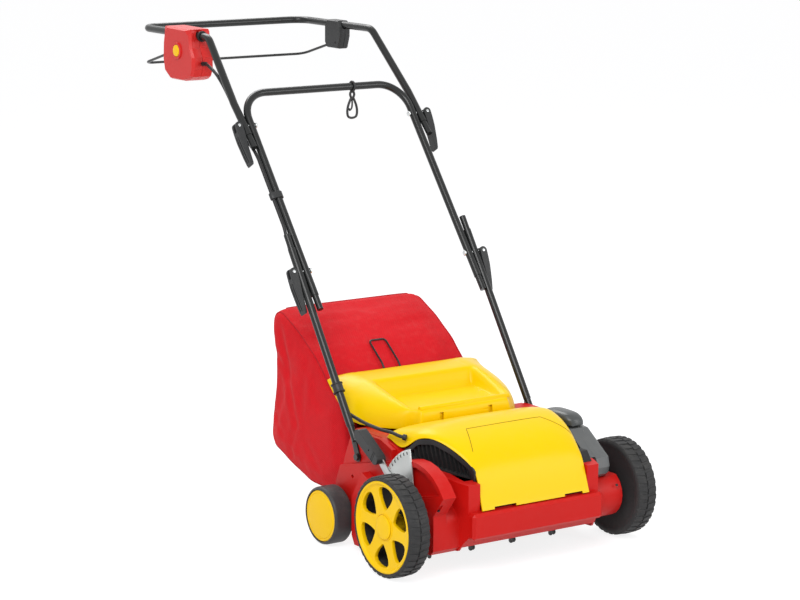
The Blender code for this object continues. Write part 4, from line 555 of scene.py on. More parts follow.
def smooth_route(points, spacing):
    """Points about a spacing apart on a smooth curve through the given ones."""
    points = [Vector(point) for point in points]
    path = []
    ends = [points[0] * 2 - points[1]] + points + [points[-1] * 2 - points[-2]]
    for p0, p1, p2, p3 in zip(ends, ends[1:], ends[2:], ends[3:]):
        count = max(1, round((p2 - p1).length / spacing))
        for i in range(count):
            t = i / count
            path.append(0.5 * (2 * p1 + (p2 - p0) * t + (2 * p0 - 5 * p1 + 4 * p2 - p3) * t * t
                               + (3 * p1 - p0 - 3 * p2 + p3) * t ** 3))
    path.append(points[-1])
    return path


def drawn_wire(name, path, radius, closed=False, resolution=4):
    """A round wire along a list of points, as a curve with a bevel turned into a mesh."""
    curve = bpy.data.curves.new(name, "CURVE")
    curve.dimensions = "3D"
    spline = curve.splines.new("POLY")
    spline.points.add(len(path) - 1)
    for slot, point in zip(spline.points, path):
        slot.co = (*point, 1)
    spline.use_cyclic_u = closed
    curve.bevel_depth = radius
    curve.bevel_resolution = resolution
    curve.use_fill_caps = not closed
    piece = bpy.data.objects.new(name, curve)
    scene.collection.objects.link(piece)
    only(piece)
    bpy.ops.object.convert(target="MESH")
    edit(bpy.context.object)
    return close_edit()


def sheet_through(name, rows):
    """A grid whose points are moved to rows of points."""
    across, along = len(rows[0]) - 1, len(rows) - 1
    piece = start(bpy.ops.mesh.primitive_grid_add, name, x_subdivisions=across, y_subdivisions=along, size=1)
    shape = bmesh.from_edit_mesh(piece.data)
    for point in shape.verts:
        point.co = rows[round((point.co.y + 0.5) * along)][round((point.co.x + 0.5) * across)]
    bmesh.update_edit_mesh(piece.data)
    return close_edit()


def apply_all(piece):
    """Applies every modifier of a piece."""
    only(piece)
    for modifier in list(piece.modifiers):
        bpy.ops.object.modifier_apply(modifier=modifier.name)
    return piece


def finer(piece, levels):
    """Subdivides a piece smoothly, its open corners kept."""
    skin = piece.modifiers.new("finer_skin", "SUBSURF")
    skin.levels = skin.render_levels = levels
    skin.boundary_smooth = "PRESERVE_CORNERS"
    return apply_all(piece)


def walled(piece, thickness, facing=None):
    """Gives an open sheet its wall, inwards from the side that looks along facing."""
    if facing and sum(face.area * face.normal.dot(Vector(facing)) for face in piece.data.polygons) < 0:
        piece.data.flip_normals()
    wall = piece.modifiers.new("wall", "SOLIDIFY")
    wall.thickness = thickness
    wall.offset = -1
    wall.use_even_offset = True
    return apply_all(piece)


def soften(piece, width, segments=2, angle=30):
    """Rounds the edges that turn by more than an angle in degrees."""
    edge = piece.modifiers.new("eased_edges", "BEVEL")
    edge.width = width
    edge.segments = segments
    edge.limit_method = "ANGLE"
    edge.angle_limit = math.radians(angle)
    return apply_all(piece)


def carve(piece, *tools, way="DIFFERENCE"):
    """Cuts the tools out of a piece, or welds them on, and clears them away."""
    only(piece)
    for tool in tools:
        work = piece.modifiers.new("carving", "BOOLEAN")
        work.operation = way
        work.object = tool
        bpy.ops.object.modifier_apply(modifier=work.name)
        bpy.data.objects.remove(tool, do_unlink=True)
    return piece


def gathered(name, *parts):
    """Several shapes joined into one object."""
    bpy.ops.object.select_all(action="DESELECT")
    for part in parts:
        part.select_set(True)
    bpy.context.view_layer.objects.active = parts[0]
    if len(parts) > 1:
        bpy.ops.object.join()
    parts[0].name = name
    return parts[0]


def copy_of(piece, name, change):
    """A copy with its own mesh, moved by a matrix."""
    copy = bpy.data.objects.new(name, piece.data.copy())
    scene.collection.objects.link(copy)
    copy.data.transform(change)
    if change.determinant() < 0:
        copy.data.flip_normals()
    return copy


MIRROR = Matrix.Diagonal((-1, 1, 1, 1))


def about_axle(centre, angle):
    """A turn about the X line through a point of the side plane."""
    place = Matrix.Translation(beside_axle(0, *centre))
    return place @ Matrix.Rotation(angle, 4, "X") @ place.inverted()


def settle(piece, finish, *stands_for, body=None, between=None, angle=35, even=False):
    """Gives a finished piece its finish, its edges' shading and the body it moves with; a piece given between two
    bodies only has its place baked into its mesh.
    """
    only(piece)
    bpy.ops.object.transform_apply(location=True, rotation=True, scale=True)
    bpy.ops.object.shade_smooth_by_angle(angle=math.radians(angle))
    if even:
        shading = piece.modifiers.new("even_shading", "WEIGHTED_NORMAL")
        shading.keep_sharp = True
        apply_all(piece)
    piece.data.materials.clear()
    piece.data.materials.append(finish)
    if stands_for:
        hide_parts(*stands_for)
    if between:
        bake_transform(piece)
    else:
        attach(piece, body or body_of_node[stands_for[0]])
    return piece


def merged_copy(node):
    """A copy of a frame part with its loose triangles merged into whole faces."""
    piece = bpy.data.objects.new(f"{node}_moulding", nodes[node].data.copy())
    scene.collection.objects.link(piece)
    edit(piece)
    whole()
    bpy.ops.mesh.remove_doubles(threshold=0.00001)
    bpy.ops.mesh.dissolve_limited(angle_limit=math.radians(0.6))
    leave()
    return piece


def moulding(node, finish, ease):
    """Settles a frame part's own solid, its edges eased."""
    settle(soften(merged_copy(node), ease), finish, node, even=True)


def split_line(node, thickness, margin, shrink):
    """A cutter for the parting line round a block: a thin plate less a smaller copy of the block."""
    low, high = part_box(node)
    middle = (low + high) / 2
    corners = [(low.y - margin, low.z - margin), (high.y + margin, low.z - margin),
               (high.y + margin, high.z + margin), (low.y - margin, high.z + margin)]
    plate = slab("parting_line", [Vector((middle.x - thickness / 2, y, z)) for y, z in corners],
                 (thickness, 0, 0))
    inner = merged_copy(node)
    resize(inner, (2, *shrink), middle)
    close_edit()
    return carve(plate, inner)


def bar_along_x(name, centre, x_from, x_to, radius, sides=20):
    """A round bar along X through a point."""
    return bent_tube(name, [Vector((x, centre.y, centre.z)) for x in (x_from, x_to)], radius, sides=sides)


def settle_pair(piece, name, finish, node, angle=35):
    """Settles a piece of the left side and its mirror image on the right."""
    right = copy_of(piece, f"{name}_right", MIRROR)
    piece.name = f"{name}_left"
    settle(piece, finish, f"{node}_left", angle=angle)
    settle(right, finish, f"{node}_right", angle=angle)


# Sizes of the pieces modelled here, in metres; y is measured behind the front axle

WORK_HALF = 0.165
FRONT_R = 0.100
TRACK_OUT = 0.301
FRONT_WIDTH = 0.048
RIM_R = 0.090
HUB_R = 0.024
WINDOW_PHASE = math.radians(35.8)
TREADS = 38
AXLE_BORE = 0.0063
REAR_AXLE = (0.261, 0.0586)
REAR_OUT = 0.2745
REAR_WIDTH = 0.0445
SHAFT = (0.0535, 0.066)
TINES = 13
TINE_PITCH = 0.025
TUBE_R = 0.008
TUBE_WALL = 0.0012
OUTER_X = 0.220
INNER_X = 0.2035
RETURN_X = 0.207
LOWER_PIN = (0.4211, 0.5252)
LOWER_LEAN = math.radians(56)
MIDDLE_LEAN = math.radians(52.5)
UPPER_LEAN = math.radians(45.5)
MIDDLE_REACH = 0.346
MIDDLE_TOP = 0.4235
MIDDLE_STUB = 0.057
LOWER_TUBE_OVER = 0.052
UPPER_TUBE_OVER = 0.025
TUBE_FOOT_Z = 0.2425
FOOT_BOLT = (0.2068, 0.184)
STRAP_X, STRAP_THICK = 0.2163, 0.003
BAIL_REST = math.radians(-15.7)
BAIL_ARM = 0.140
LEAD_R = 0.0035
LEAD_X = -0.2162
CABLE_CLAMP_Z = 0.311
CLAMP_DOWN = (LOWER_PIN[1] - CABLE_CLAMP_Z) / math.sin(LOWER_LEAN)
HINGE = (0.152, 0.262)
LUG_X = 0.060


def along(point, angle, distance):
    """The side-plane point that lies from another at an angle and a distance."""
    return (point[0] + distance * math.cos(angle), point[1] + distance * math.sin(angle))


def polar_outline(centre, points):
    """(radius, degrees) points about a centre in the side plane."""
    return [along(centre, math.radians(a), r) for r, a in points]


def arc(centre, radius, first, last, steps):
    """Side-plane points from one angle to another, in degrees, about a centre."""
    turns = [math.radians(first + (last - first) * i / steps) for i in range(steps + 1)]
    return [along(centre, turn, radius) for turn in turns]


UPPER_PIN = along(LOWER_PIN, MIDDLE_LEAN, MIDDLE_REACH)
BEND = along(UPPER_PIN, UPPER_LEAN, 0.2388)
BAR_Y = BEND[0] + 0.285


# Hood, grille and flap

HOOD = [
    # y, crown z, left half width, left edge z, right half width, right edge z
    (-0.0940, 0.1282, 0.1300, 0.1282, 0.1300, 0.1282),
    (-0.0900, 0.1390, 0.1295, 0.1390, 0.1295, 0.1390),
    (-0.0820, 0.1650, 0.1290, 0.1650, 0.1290, 0.1650),
    (-0.0690, 0.2025, 0.1280, 0.2025, 0.1280, 0.2025),
    (-0.0450, 0.2320, 0.1380, 0.2205, 0.1380, 0.2060),
    (-0.0150, 0.2510, 0.1520, 0.2405, 0.1470, 0.2220),
    (0.0160, 0.2635, 0.1720, 0.2565, 0.1520, 0.2370),
    (0.0450, 0.2700, 0.1880, 0.2525, 0.1550, 0.2460),
    (0.0640, 0.2705, 0.1960, 0.2325, 0.1570, 0.2500),
    (0.0850, 0.2680, 0.2000, 0.2240, 0.1570, 0.2500),
    (0.1150, 0.2610, 0.2000, 0.2362, 0.1570, 0.2470),
    (0.1280, 0.2560, 0.2000, 0.2375, 0.1570, 0.2430),
    (0.1330, 0.2510, 0.1980, 0.2375, 0.1560, 0.2400),
    (0.1340, 0.2400, 0.1980, 0.2370, 0.1560, 0.2378),
]
HOOD_WALL = 0.0025


def hood_row(y, crown, wide_l, edge_l, wide_r, edge_r):
    """Points across the hood from its left edge over the crown to its right edge."""
    roll = ((1.0, 1.0), (0.985, 0.62), (0.93, 0.27), (0.82, 0.08), (0.5, 0.0))
    left = [beside_axle(-u * wide_l, y, crown - drop * (crown - edge_l)) for u, drop in roll]
    right = [beside_axle(u * wide_r, y, crown - drop * (crown - edge_r)) for u, drop in reversed(roll)]
    return left + [beside_axle(0, y, crown + 0.02 * (crown - edge_l))] + right


def seam_on(surface, corners, step=0.006):
    """Points on a surface under the straight runs between (x, y) corners seen from above."""
    points = []
    for (x0, y0), (x1, y1) in zip(corners, corners[1:]):
        count = max(1, round(math.hypot(x1 - x0, y1 - y0) / step))
        for i in range(count + 1):
            t = i / count
            x, y = x0 + (x1 - x0) * t, y0 + (y1 - y0) * t
            hit = surface.ray_cast(beside_axle(x, y, 0.4), Vector((0, 0, -1)))[0]
            if hit is not None and (not points or (hit - points[-1]).length > step / 3):
                points.append(hit)
    return points


def hood():
    """The yellow hood with its panel seam, its front tabs' slots and the catch on its right."""
    piece = sheet_through("motor_hood", [hood_row(*station) for station in HOOD])
    finer(piece, 2)
    skin = BVHTree.FromObject(piece, bpy.context.evaluated_depsgraph_get())
    walled(piece, HOOD_WALL, (0, 0, 1))
    panel = seam_on(skin, [(-0.1155, -0.0400), (-0.0905, 0.0173), (0.0911, 0.0195), (0.1330, -0.0290)])
    seam = drawn_wire("panel_seam", panel, 0.0007, resolution=2)
    tabs = [fitted_box("tab_slot", (low, -0.100, 0.1255), (high, -0.086, 0.1325), 0.0)
            for low, high in ((-0.1008, -0.0481), (0.070, 0.1142))]
    carve(piece, *tabs)
    settle(piece, yellow_plastic, "motor_cover", angle=28)
    settle(seam, seam_shadow, body="chassis", angle=60)
    # A black plate behind the tab slots: painted shade for the dark space under the hood's front edge.
    shade = fitted_box("hood_tab_shade", (-0.126, -0.0862, 0.1280), (0.126, -0.0855, 0.145), 0.0002)
    settle(shade, black_plastic_and_painted_shade, body="chassis")
    latch = fitted_box("hood_latch", (0.1330, -0.0690, 0.1765), (0.1575, -0.0440, 0.1990), 0.004)
    edit(latch)
    pick(lambda point: point.co.z > 0.188, "VERT")
    bpy.ops.transform.translate(value=(-0.002, 0.012, 0.004))
    leave()
    settle(latch, black_plastic_and_painted_shade, body="chassis")


def fitted_box(name, low, high, ease):
    """A block between two corners, its edges eased."""
    low, high = beside_axle(*low), beside_axle(*high)
    start(bpy.ops.mesh.primitive_cube_add, name, size=1, location=(low + high) / 2, scale=high - low)
    whole()
    if ease:
        bpy.ops.mesh.bevel(offset=ease, segments=2, affect="EDGES")
    return close_edit()


def deck_rim(y):
    """Height of the chassis rim under the hood."""
    table = [(-0.086, 0.180), (-0.020, 0.187), (0.045, 0.203), (0.100, 0.228)]
    for (y0, z0), (y1, z1) in zip(table, table[1:]):
        if y <= y1:
            return z0 + (z1 - z0) * (y - y0) / (y1 - y0)


def hood_left_edge(y):
    """Half width and height of the hood's left edge."""
    for a, b in zip(HOOD, HOOD[1:]):
        if a[0] <= y <= b[0]:
            t = (y - a[0]) / (b[0] - a[0])
            return a[2] + (b[2] - a[2]) * t, a[3] + (b[3] - a[3]) * t


GRILLE_FROM, GRILLE_TO = -0.0630, 0.0740
FINS = 15
FIN_LEAN = 0.010


def grille_line(y, share, deep):
    """A point of the grille at a share of its height, set in from its face."""
    wide, high = hood_left_edge(y)
    low = deck_rim(y) + 0.0004
    high -= 0.0030
    return beside_axle(-wide + 0.0010 + deep, y, low + (high - low) * share)


def grille():
    """The black louvres under the hood's left edge: backing, top band, sill, front facet and fins."""
    stops = [GRILLE_FROM + (GRILLE_TO - GRILLE_FROM) * i / 20 for i in range(21)]
    backing = sheet_through("grille_backing",
                            [[grille_line(y, s, 0.010) for s in (0, 0.5, 1)] for y in stops])
    walled(backing, 0.001, (-1, 0, 0))
    band = []
    for y in stops:
        top = grille_line(y, 1, 0)
        fall = min(0.011, 0.62 * (top.z - deck_rim(y)))
        low = top - Vector((0, 0, fall))
        inner = Vector((0.009, 0, -0.002))
        band.append([top + inner, top + Vector((0, 0, -0.0004)), low, low + inner])
    rim = sheet_through("grille_band", band)
    walled(rim, 0.0012, (-1, 0, 0))
    sill = sheet_through("grille_sill", [[grille_line(y, 0, 0.009), grille_line(y, 0, 0.0),
                                          grille_line(y, 0, 0.0) + Vector((0, 0, 0.0035)),
                                          grille_line(y, 0, 0.009) + Vector((0, 0, 0.0045))] for y in stops])
    walled(sill, 0.0008, (-1, 0, 0))
    facet = side_slab("grille_front_facet", [(-0.0700, 0.1800), (-0.0695, 0.2010), (-0.0470, 0.2190),
                                             (-0.0440, 0.2100), (-0.0530, 0.1865)], -0.1285, -0.1330)
    soften(facet, 0.0014, 2, 30)
    fins = []
    for i in range(FINS):
        y = GRILLE_FROM + 0.010 + (GRILLE_TO - 0.012 - GRILLE_FROM - 0.010) * i / (FINS - 1)
        low, high = grille_line(y, 0.02, 0.0012), grille_line(min(y + FIN_LEAN, GRILLE_TO), 0.92, 0.0012)
        if high.z - low.z < 0.004:
            continue
        thick, deep = Vector((0, 0.0016, 0)), Vector((0.0085, 0.002, 0))
        fins.append(slab(f"grille_fin_{i}", [low, low + thick, high + thick, high], deep))
    piece = gathered("grille_louvres", rim, backing, sill, facet, *fins)
    settle(piece, grille_plastic, "air_grille", angle=30)


FLAP = [
    # y, rim z, half width, edge z, floor z between the rails
    (0.1412, 0.2470, 0.1115, 0.2462, 0.2470),
    (0.1418, 0.2640, 0.1125, 0.2460, 0.2640),
    (0.1455, 0.2740, 0.1140, 0.2455, 0.2740),
    (0.1515, 0.2768, 0.1160, 0.2450, 0.2768),
    (0.1585, 0.2758, 0.1220, 0.2430, 0.2755),
    (0.1640, 0.2765, 0.1360, 0.2385, 0.2700),
    (0.1760, 0.2800, 0.1500, 0.2380, 0.2690),
    (0.2485, 0.3000, 0.1990, 0.2380, 0.2735),
    (0.2780, 0.3080, 0.1970, 0.2490, 0.2762),
    (0.2812, 0.3088, 0.1967, 0.2508, 0.2775),
    (0.2960, 0.3118, 0.1955, 0.2580, 0.3072),
    (0.2985, 0.3124, 0.1952, 0.2600, 0.3108),
    (0.3060, 0.3138, 0.1945, 0.2640, 0.3125),
    (0.3600, 0.3188, 0.1890, 0.3010, 0.3175),
    (0.3670, 0.3150, 0.1870, 0.3070, 0.3140),
]
FLAP_WALL = 0.003
FLAP_RAIL = 0.112


def flap_row(y, rim, wide, edge, floor):
    """Points across the flap: side, rail and sunk floor, mirrored."""
    rail = min(FLAP_RAIL + 0.10 * max(0, min(y, 0.25) - 0.17), wide * 0.85)
    crest = min(rail + 0.018, wide * 0.92)
    half = [(wide, edge), (wide - (wide - crest) * 0.10, edge + (rim - edge) * 0.26),
            (wide - (wide - crest) * 0.28, edge + (rim - edge) * 0.58),
            (crest + (wide - crest) * 0.34, edge + (rim - edge) * 0.86), (crest, rim),
            (rail + 0.007, rim - 0.0005), (rail, rim - 0.0035 if rim - floor > 0.006 else floor),
            (rail - 0.0055, floor + 0.0008), (rail - 0.009, floor), (rail * 0.4, floor)]
    left = [beside_axle(-x, y, z) for x, z in half]
    right = [beside_axle(x, y, z) for x, z in reversed(half)]
    return left + right


def flap():
    """The lift-up chute flap: a moulded tray with rails, a sunk floor and hinge knuckles."""
    rows = [flap_row(*station) for station in FLAP]
    piece = sheet_through("chute_flap", rows)
    finer(piece, 1)
    walled(piece, FLAP_WALL, (0, 0, 1))
    knuckle = arc(HINGE, 0.0065, 180, 360, 12) + [(HINGE[0] + 0.004, 0.2752), (HINGE[0] - 0.003, 0.2752)]
    blocks = [side_slab("hinge_knuckle", knuckle, x - 0.009, x + 0.009) for x in (-0.095, 0.0, 0.095)]
    bar = slab("hinge_ridge", [beside_axle(-0.106, y, z) for y, z in
                               arc((0.1550, 0.2762), 0.0060, -20, 200, 12)], (0.222, 0.004, 0))
    soften(bar, 0.0008, 2, 60)
    carve(piece, *blocks, bar, way="UNION")
    gaps = [fitted_box("lug_gap", (x - 0.005, 0.130, 0.230), (x + 0.005, HINGE[0] - 0.004, 0.267), 0)
            for x in (-LUG_X, LUG_X)]
    bore = side_slab("hinge_bore", arc(HINGE, 0.0033, 0, 345, 23), -0.112, 0.112)
    slot = fitted_box("flap_slot", (0.044, 0.1385, 0.2590), (0.056, 0.1425, 0.2622), 0.0008)
    carve(piece, bore, slot, *gaps)
    soften(piece, 0.0014, 3, 34)
    settle(piece, yellow_plastic, "rear_flap", angle=34)
    cheeks = [fitted_box("gap_cheek", (x - 0.0035, 0.1440, 0.2466), (x + 0.0035, 0.1486, 0.2655), 0.0004)
              for x in (-LUG_X - 0.0090, -LUG_X + 0.0090, LUG_X - 0.0090, LUG_X + 0.0090)]
    settle(gathered("hinge_gap_cheeks", *cheeks), yellow_plastic, body="flap")
    for side, word in SIDES:
        x = side * LUG_X
        cap = side_slab(f"hinge_lug_cover_{word}", [(HINGE[0] - 0.0054, 0.2372), (HINGE[0] + 0.0054, 0.2372)]
                        + arc(HINGE, 0.0054, 0, 180, 12), x - 0.0046, x + 0.0046)
        soften(cap, 0.0006)
        settle(cap, yellow_plastic, body="chassis")


# Wheels

def front_wheels():
    """The treaded tyres, two rows of slanted blocks to each."""
    inner = TRACK_OUT - FRONT_WIDTH
    axle = (0.0, FRONT_R)
    base = FRONT_R - 0.0024
    seat = RIM_R + 0.0003
    tyre = spun("tyre", [
        (inner + 0.004, AXLE_BORE), (inner + 0.004, RIM_R - 0.010), (inner + 0.001, RIM_R - 0.004),
        (inner, RIM_R), (inner + 0.0008, base - 0.003), (inner + 0.0032, base), (TRACK_OUT - 0.0250, base),
        (TRACK_OUT - 0.0246, base - 0.0008), (TRACK_OUT - 0.0234, base - 0.0008), (TRACK_OUT - 0.0230, base),
        (TRACK_OUT - 0.0040, base), (TRACK_OUT - 0.0012, base - 0.0022), (TRACK_OUT, RIM_R + 0.0035),
        (TRACK_OUT, RIM_R + 0.0020), (TRACK_OUT - 0.0012, seat), (inner + 0.007, seat),
        (inner + 0.007, AXLE_BORE)], axle, -1, 96)
    top, low = FRONT_R - 0.0003, base - 0.0018
    rows = ((TRACK_OUT - 0.0226, TRACK_OUT - 0.0010, 1), (inner + 0.0010, TRACK_OUT - 0.0254, -1))
    blocks = []
    for row, (x0, x1, way) in enumerate(rows):
        bar = start(bpy.ops.mesh.primitive_cube_add, "tread_bar", size=1,
                    location=beside_axle(-(x0 + x1) / 2, 0, FRONT_R + (top + low) / 2),
                    scale=(x1 - x0, 0.0098, top - low))
        pick(lambda point: point.co.x < -(x0 + x1) / 2, "VERT")
        bpy.ops.transform.translate(value=(0, way * 0.0034, 0))
        outer = -x1 if way > 0 else -x0
        pick(lambda point: abs(point.co.x - outer) < 0.001 and point.co.z > FRONT_R + base, "VERT")
        bpy.ops.transform.translate(value=(way * 0.0016, 0, -0.0012))
        pick(lambda face: face.normal.z > 0.5)
        bpy.ops.mesh.bevel(offset=0.0007, segments=1, affect="EDGES")
        close_edit()
        for k in range(TREADS):
            turn = about_axle(axle, 2 * math.pi * (k + 0.5 * row) / TREADS)
            blocks.append(copy_of(bar, "tread_bar_copy", turn))
        bpy.data.objects.remove(bar, do_unlink=True)
    settle_pair(gathered("front_tyre_left", tyre, *blocks), "front_tyre", tyre_black, "front_wheel", 32)
    trims(axle)


def window_tool(axle, angle):
    """The fan-shaped gap between two spokes, as a cutter with rounded corners."""
    half = [(0.0345, 2.0), (0.0370, 6.5), (0.0440, 13.0), (0.0540, 18.0), (0.0650, 20.0), (0.0730, 19.0),
            (0.0775, 15.0), (0.0795, 8.0)]
    outline = [(r, -a) for r, a in half] + [(0.0800, 0.0)] + [(r, a) for r, a in reversed(half)]
    points = polar_outline(axle, [(r, a + math.degrees(angle)) for r, a in outline])
    return side_slab("spoke_window", points, -TRACK_OUT - 0.01, -TRACK_OUT + FRONT_WIDTH - 0.010)


def trims(axle):
    """The yellow six-spoke trims, the dark drums behind their gaps and the hub caps."""
    back = TRACK_OUT - FRONT_WIDTH + 0.0073
    face = TRACK_OUT - 0.0065
    trim = spun("wheel_trim", [
        (back, RIM_R - 0.005), (back, RIM_R), (TRACK_OUT - 0.0012, RIM_R),
        (TRACK_OUT - 0.0002, RIM_R - 0.0012), (TRACK_OUT - 0.0002, RIM_R - 0.0042),
        (TRACK_OUT - 0.0018, RIM_R - 0.0060), (TRACK_OUT - 0.0045, RIM_R - 0.0078),
        (TRACK_OUT - 0.0055, 0.070), (face, HUB_R + 0.006), (face, AXLE_BORE), (back, AXLE_BORE),
        (back, 0.0225), (face - 0.006, 0.0245), (face - 0.006, 0.060), (face - 0.0065, RIM_R - 0.005)],
        axle, -1, 96)
    carve(trim, *[window_tool(axle, WINDOW_PHASE + k * math.pi / 3) for k in range(6)])
    soften(trim, 0.0011, 2, 40)
    settle_pair(trim, "spoked_trim", wheel_yellow, "wheel_trim", 30)
    deep = RIM_R - 0.0056
    drum = spun("rim_drum", [
        (face - 0.0075, deep), (back + 0.0006, deep), (back + 0.0006, 0.0260), (back + 0.0018, 0.0250),
        (back + 0.0020, deep - 0.0022), (face - 0.0078, deep - 0.0012)], axle, -1, 72)
    right = copy_of(drum, "rim_drum_right", MIRROR)
    settle(drum, tyre_black, body="front_left")
    settle(right, tyre_black, body="front_right")
    seat = face + 0.0003
    cap = spun("hub_cap", [
        (seat - 0.0001, 0.0), (seat - 0.0001, HUB_R - 0.0008), (seat + 0.0006, HUB_R), (seat + 0.0022, HUB_R),
        (seat + 0.0030, HUB_R - 0.0010), (seat + 0.0034, HUB_R - 0.004), (seat + 0.0036, 0.0)], axle, -1, 64)
    ring = spun("hub_ring", [
        (seat - 0.0010, HUB_R + 0.0008), (seat - 0.0010, HUB_R + 0.0034), (seat + 0.0004, HUB_R + 0.0034),
        (seat + 0.0010, HUB_R + 0.0026), (seat + 0.0010, HUB_R + 0.0014)], axle, -1, 64)
    settle_pair(gathered("hub_cap_left", cap, ring), "hub_cap", wheel_yellow, "front_hub_cap")


def rear_wheels():
    """The smooth rear rollers with their dished yellow discs."""
    inner = REAR_OUT - REAR_WIDTH
    radius = REAR_AXLE[1]
    tyre = spun("rear_tyre", [
        (inner, 0.0385), (inner, radius - 0.005), (inner + 0.0012, radius - 0.0018), (inner + 0.004, radius),
        (REAR_OUT - 0.0085, radius), (REAR_OUT - 0.0050, radius - 0.0008),
        (REAR_OUT - 0.0028, radius - 0.0026), (REAR_OUT - 0.0016, radius - 0.0048),
        (REAR_OUT - 0.0022, radius - 0.0060), (REAR_OUT - 0.0083, radius - 0.0060),
        (REAR_OUT - 0.0083, 0.0385)], REAR_AXLE, -1, 80)
    disc = spun("rear_disc", [
        (inner + 0.001, AXLE_BORE), (inner + 0.001, 0.038), (REAR_OUT - 0.008, 0.038),
        (REAR_OUT - 0.008, 0.0518), (REAR_OUT - 0.0042, 0.0518), (REAR_OUT - 0.0030, 0.0508),
        (REAR_OUT - 0.0030, 0.0478), (REAR_OUT - 0.0036, 0.0470), (REAR_OUT - 0.0034, 0.0462),
        (REAR_OUT - 0.0022, 0.0450), (REAR_OUT - 0.0008, 0.030), (REAR_OUT - 0.0001, 0.012), (REAR_OUT, 0.0),
        (REAR_OUT - 0.004, 0.0), (REAR_OUT - 0.004, AXLE_BORE)], REAR_AXLE, -1, 80)
    settle_pair(tyre, "rear_roller_tyre", rear_tyre_black, "rear_tyre", 32)
    settle_pair(disc, "rear_roller_disc", wheel_yellow, "rear_wheel", 32)


# Drum

def both_ways(x, half):
    """A profile of (distance from x, radius) points and its mirror image about x."""
    return [(x - dx, r) for dx, r in half] + [(x + dx, r) for dx, r in reversed(half)]


def tines():
    """Two-armed tines with blunt hooked tips on a row of spacers."""
    arm = [(0.0205, -34), (0.0330, -20), (0.0480, -9), (0.0600, -4.5), (0.0635, -3.0), (0.0650, 0.5),
           (0.0646, 4.5), (0.0620, 7.0), (0.0570, 7.2), (0.0500, 5.0), (0.0370, 10), (0.0280, 19),
           (0.0210, 34)]
    outline = [(r, a + turn) for turn in (0, 180) for r, a in arm]
    blade = side_slab("tine", polar_outline(SHAFT, outline), -0.0016, 0.0016)
    soften(blade, 0.0009, 2, 40)
    core = both_ways(0, [(0.1605, 0.0093), (0.1605, 0.0145), (0.1590, 0.0160)])
    parts = [spun("drum_core", core, SHAFT, 1, 48)]
    for i in range(TINES):
        x = (i - TINES // 2) * TINE_PITCH
        turn = about_axle(SHAFT, math.radians(-90) + (i % 4) * math.pi / 4)
        parts.append(copy_of(blade, "tine_copy", Matrix.Translation((x, 0, 0)) @ turn))
        washer = both_ways(x, [(0.0045, 0.0155), (0.0045, 0.0210), (0.0035, 0.0220)])
        parts.append(spun("tine_washer", washer, SHAFT, 1, 32))
    bpy.data.objects.remove(blade, do_unlink=True)
    settle(gathered("tine_drum", *parts), tine_steel, "blade_set", angle=32)


# Handle

def side_path(x, *points):
    """Side-plane points as places at one x."""
    return [beside_axle(x, y, z) for y, z in points]


def handle_tubes():
    """The two lower tubes with their pressed feet, the middle loop and the upper loop."""
    for side, word in SIDES:
        foot = along(LOWER_PIN, LOWER_LEAN, -(LOWER_PIN[1] - TUBE_FOOT_Z) / math.sin(LOWER_LEAN))
        top = along(LOWER_PIN, LOWER_LEAN, LOWER_TUBE_OVER)
        line = side_path(side * OUTER_X, foot, top)
        tube = bent_tube("lower_tube", line, TUBE_R, sides=24, wall=TUBE_WALL)
        x0 = side * STRAP_X
        x1 = x0 + side * STRAP_THICK
        bend = (foot[0] - 0.004, foot[1] - 0.014)
        band = flat_band([along(foot, LOWER_LEAN, 0.020), foot, bend, FOOT_BOLT],
                         (0.0062, 0.0079, 0.0079, 0.0079))
        strap = side_slab("foot_strap", band, x0, x1)
        carve(strap, side_slab("foot_eye", arc(FOOT_BOLT, 0.0095, 0, 350, 35), x0, x1), way="UNION")
        soften(strap, 0.0007, 2, 40)
        flare = slab("foot_flare", side_path(x0, *band_end(foot, LOWER_LEAN, 0.0079)),
                     (side * STRAP_THICK, 0, 0))
        settle(gathered(f"lower_handle_tube_{word}", tube, strap, flare), tube_black,
               f"lower_tube_{word}", angle=40)
    stub = along(LOWER_PIN, MIDDLE_LEAN, -MIDDLE_STUB)
    high = along(LOWER_PIN, MIDDLE_LEAN, MIDDLE_TOP)
    loop = side_path(-INNER_X, stub, high) + side_path(INNER_X, high, stub)
    settle(bent_tube("middle_loop", loop, TUBE_R, 0.062, 24, TUBE_WALL, 14), tube_black,
           "middle_tube", angle=40)
    low = along(UPPER_PIN, UPPER_LEAN, -UPPER_TUBE_OVER)
    straight = along(UPPER_PIN, UPPER_LEAN, 0.060)
    half = ((OUTER_X, low), (OUTER_X, straight), (RETURN_X, BEND), (RETURN_X, (BAR_Y, BEND[1])))
    left = [beside_axle(-x, *p) for x, p in half]
    right = [Vector((-p.x, p.y, p.z)) for p in reversed(left)]
    settle(bent_tube("upper_loop", left + right, TUBE_R, 0.034, 24, TUBE_WALL, 10), tube_black,
           "upper_tube", angle=40)


def flat_band(points, halves):
    """The outline of a strap along a line of side-plane points, with its half width at each."""
    left, right = [], []
    for i, (point, half) in enumerate(zip(points, halves)):
        before, after = points[max(i - 1, 0)], points[min(i + 1, len(points) - 1)]
        angle = math.atan2(after[1] - before[1], after[0] - before[0])
        left.append(along(point, angle + math.pi / 2, half))
        right.append(along(point, angle - math.pi / 2, half))
    return left + right[::-1]


def band_end(foot, lean, half):
    """Where the round tube is pressed flat: a short taper beside its end."""
    low, high = along(foot, lean, -0.002), along(foot, lean, 0.016)
    return flat_band([low, high], (half, half * 0.98))


def cam_clamps():
    """The quick-release levers at the four joints of the handle."""
    for level, pin, lean in (("lower", LOWER_PIN, math.radians(65)), ("upper", UPPER_PIN, math.radians(60))):
        for side, word in SIDES:
            cam_lever(level, word, pin, lean, side)


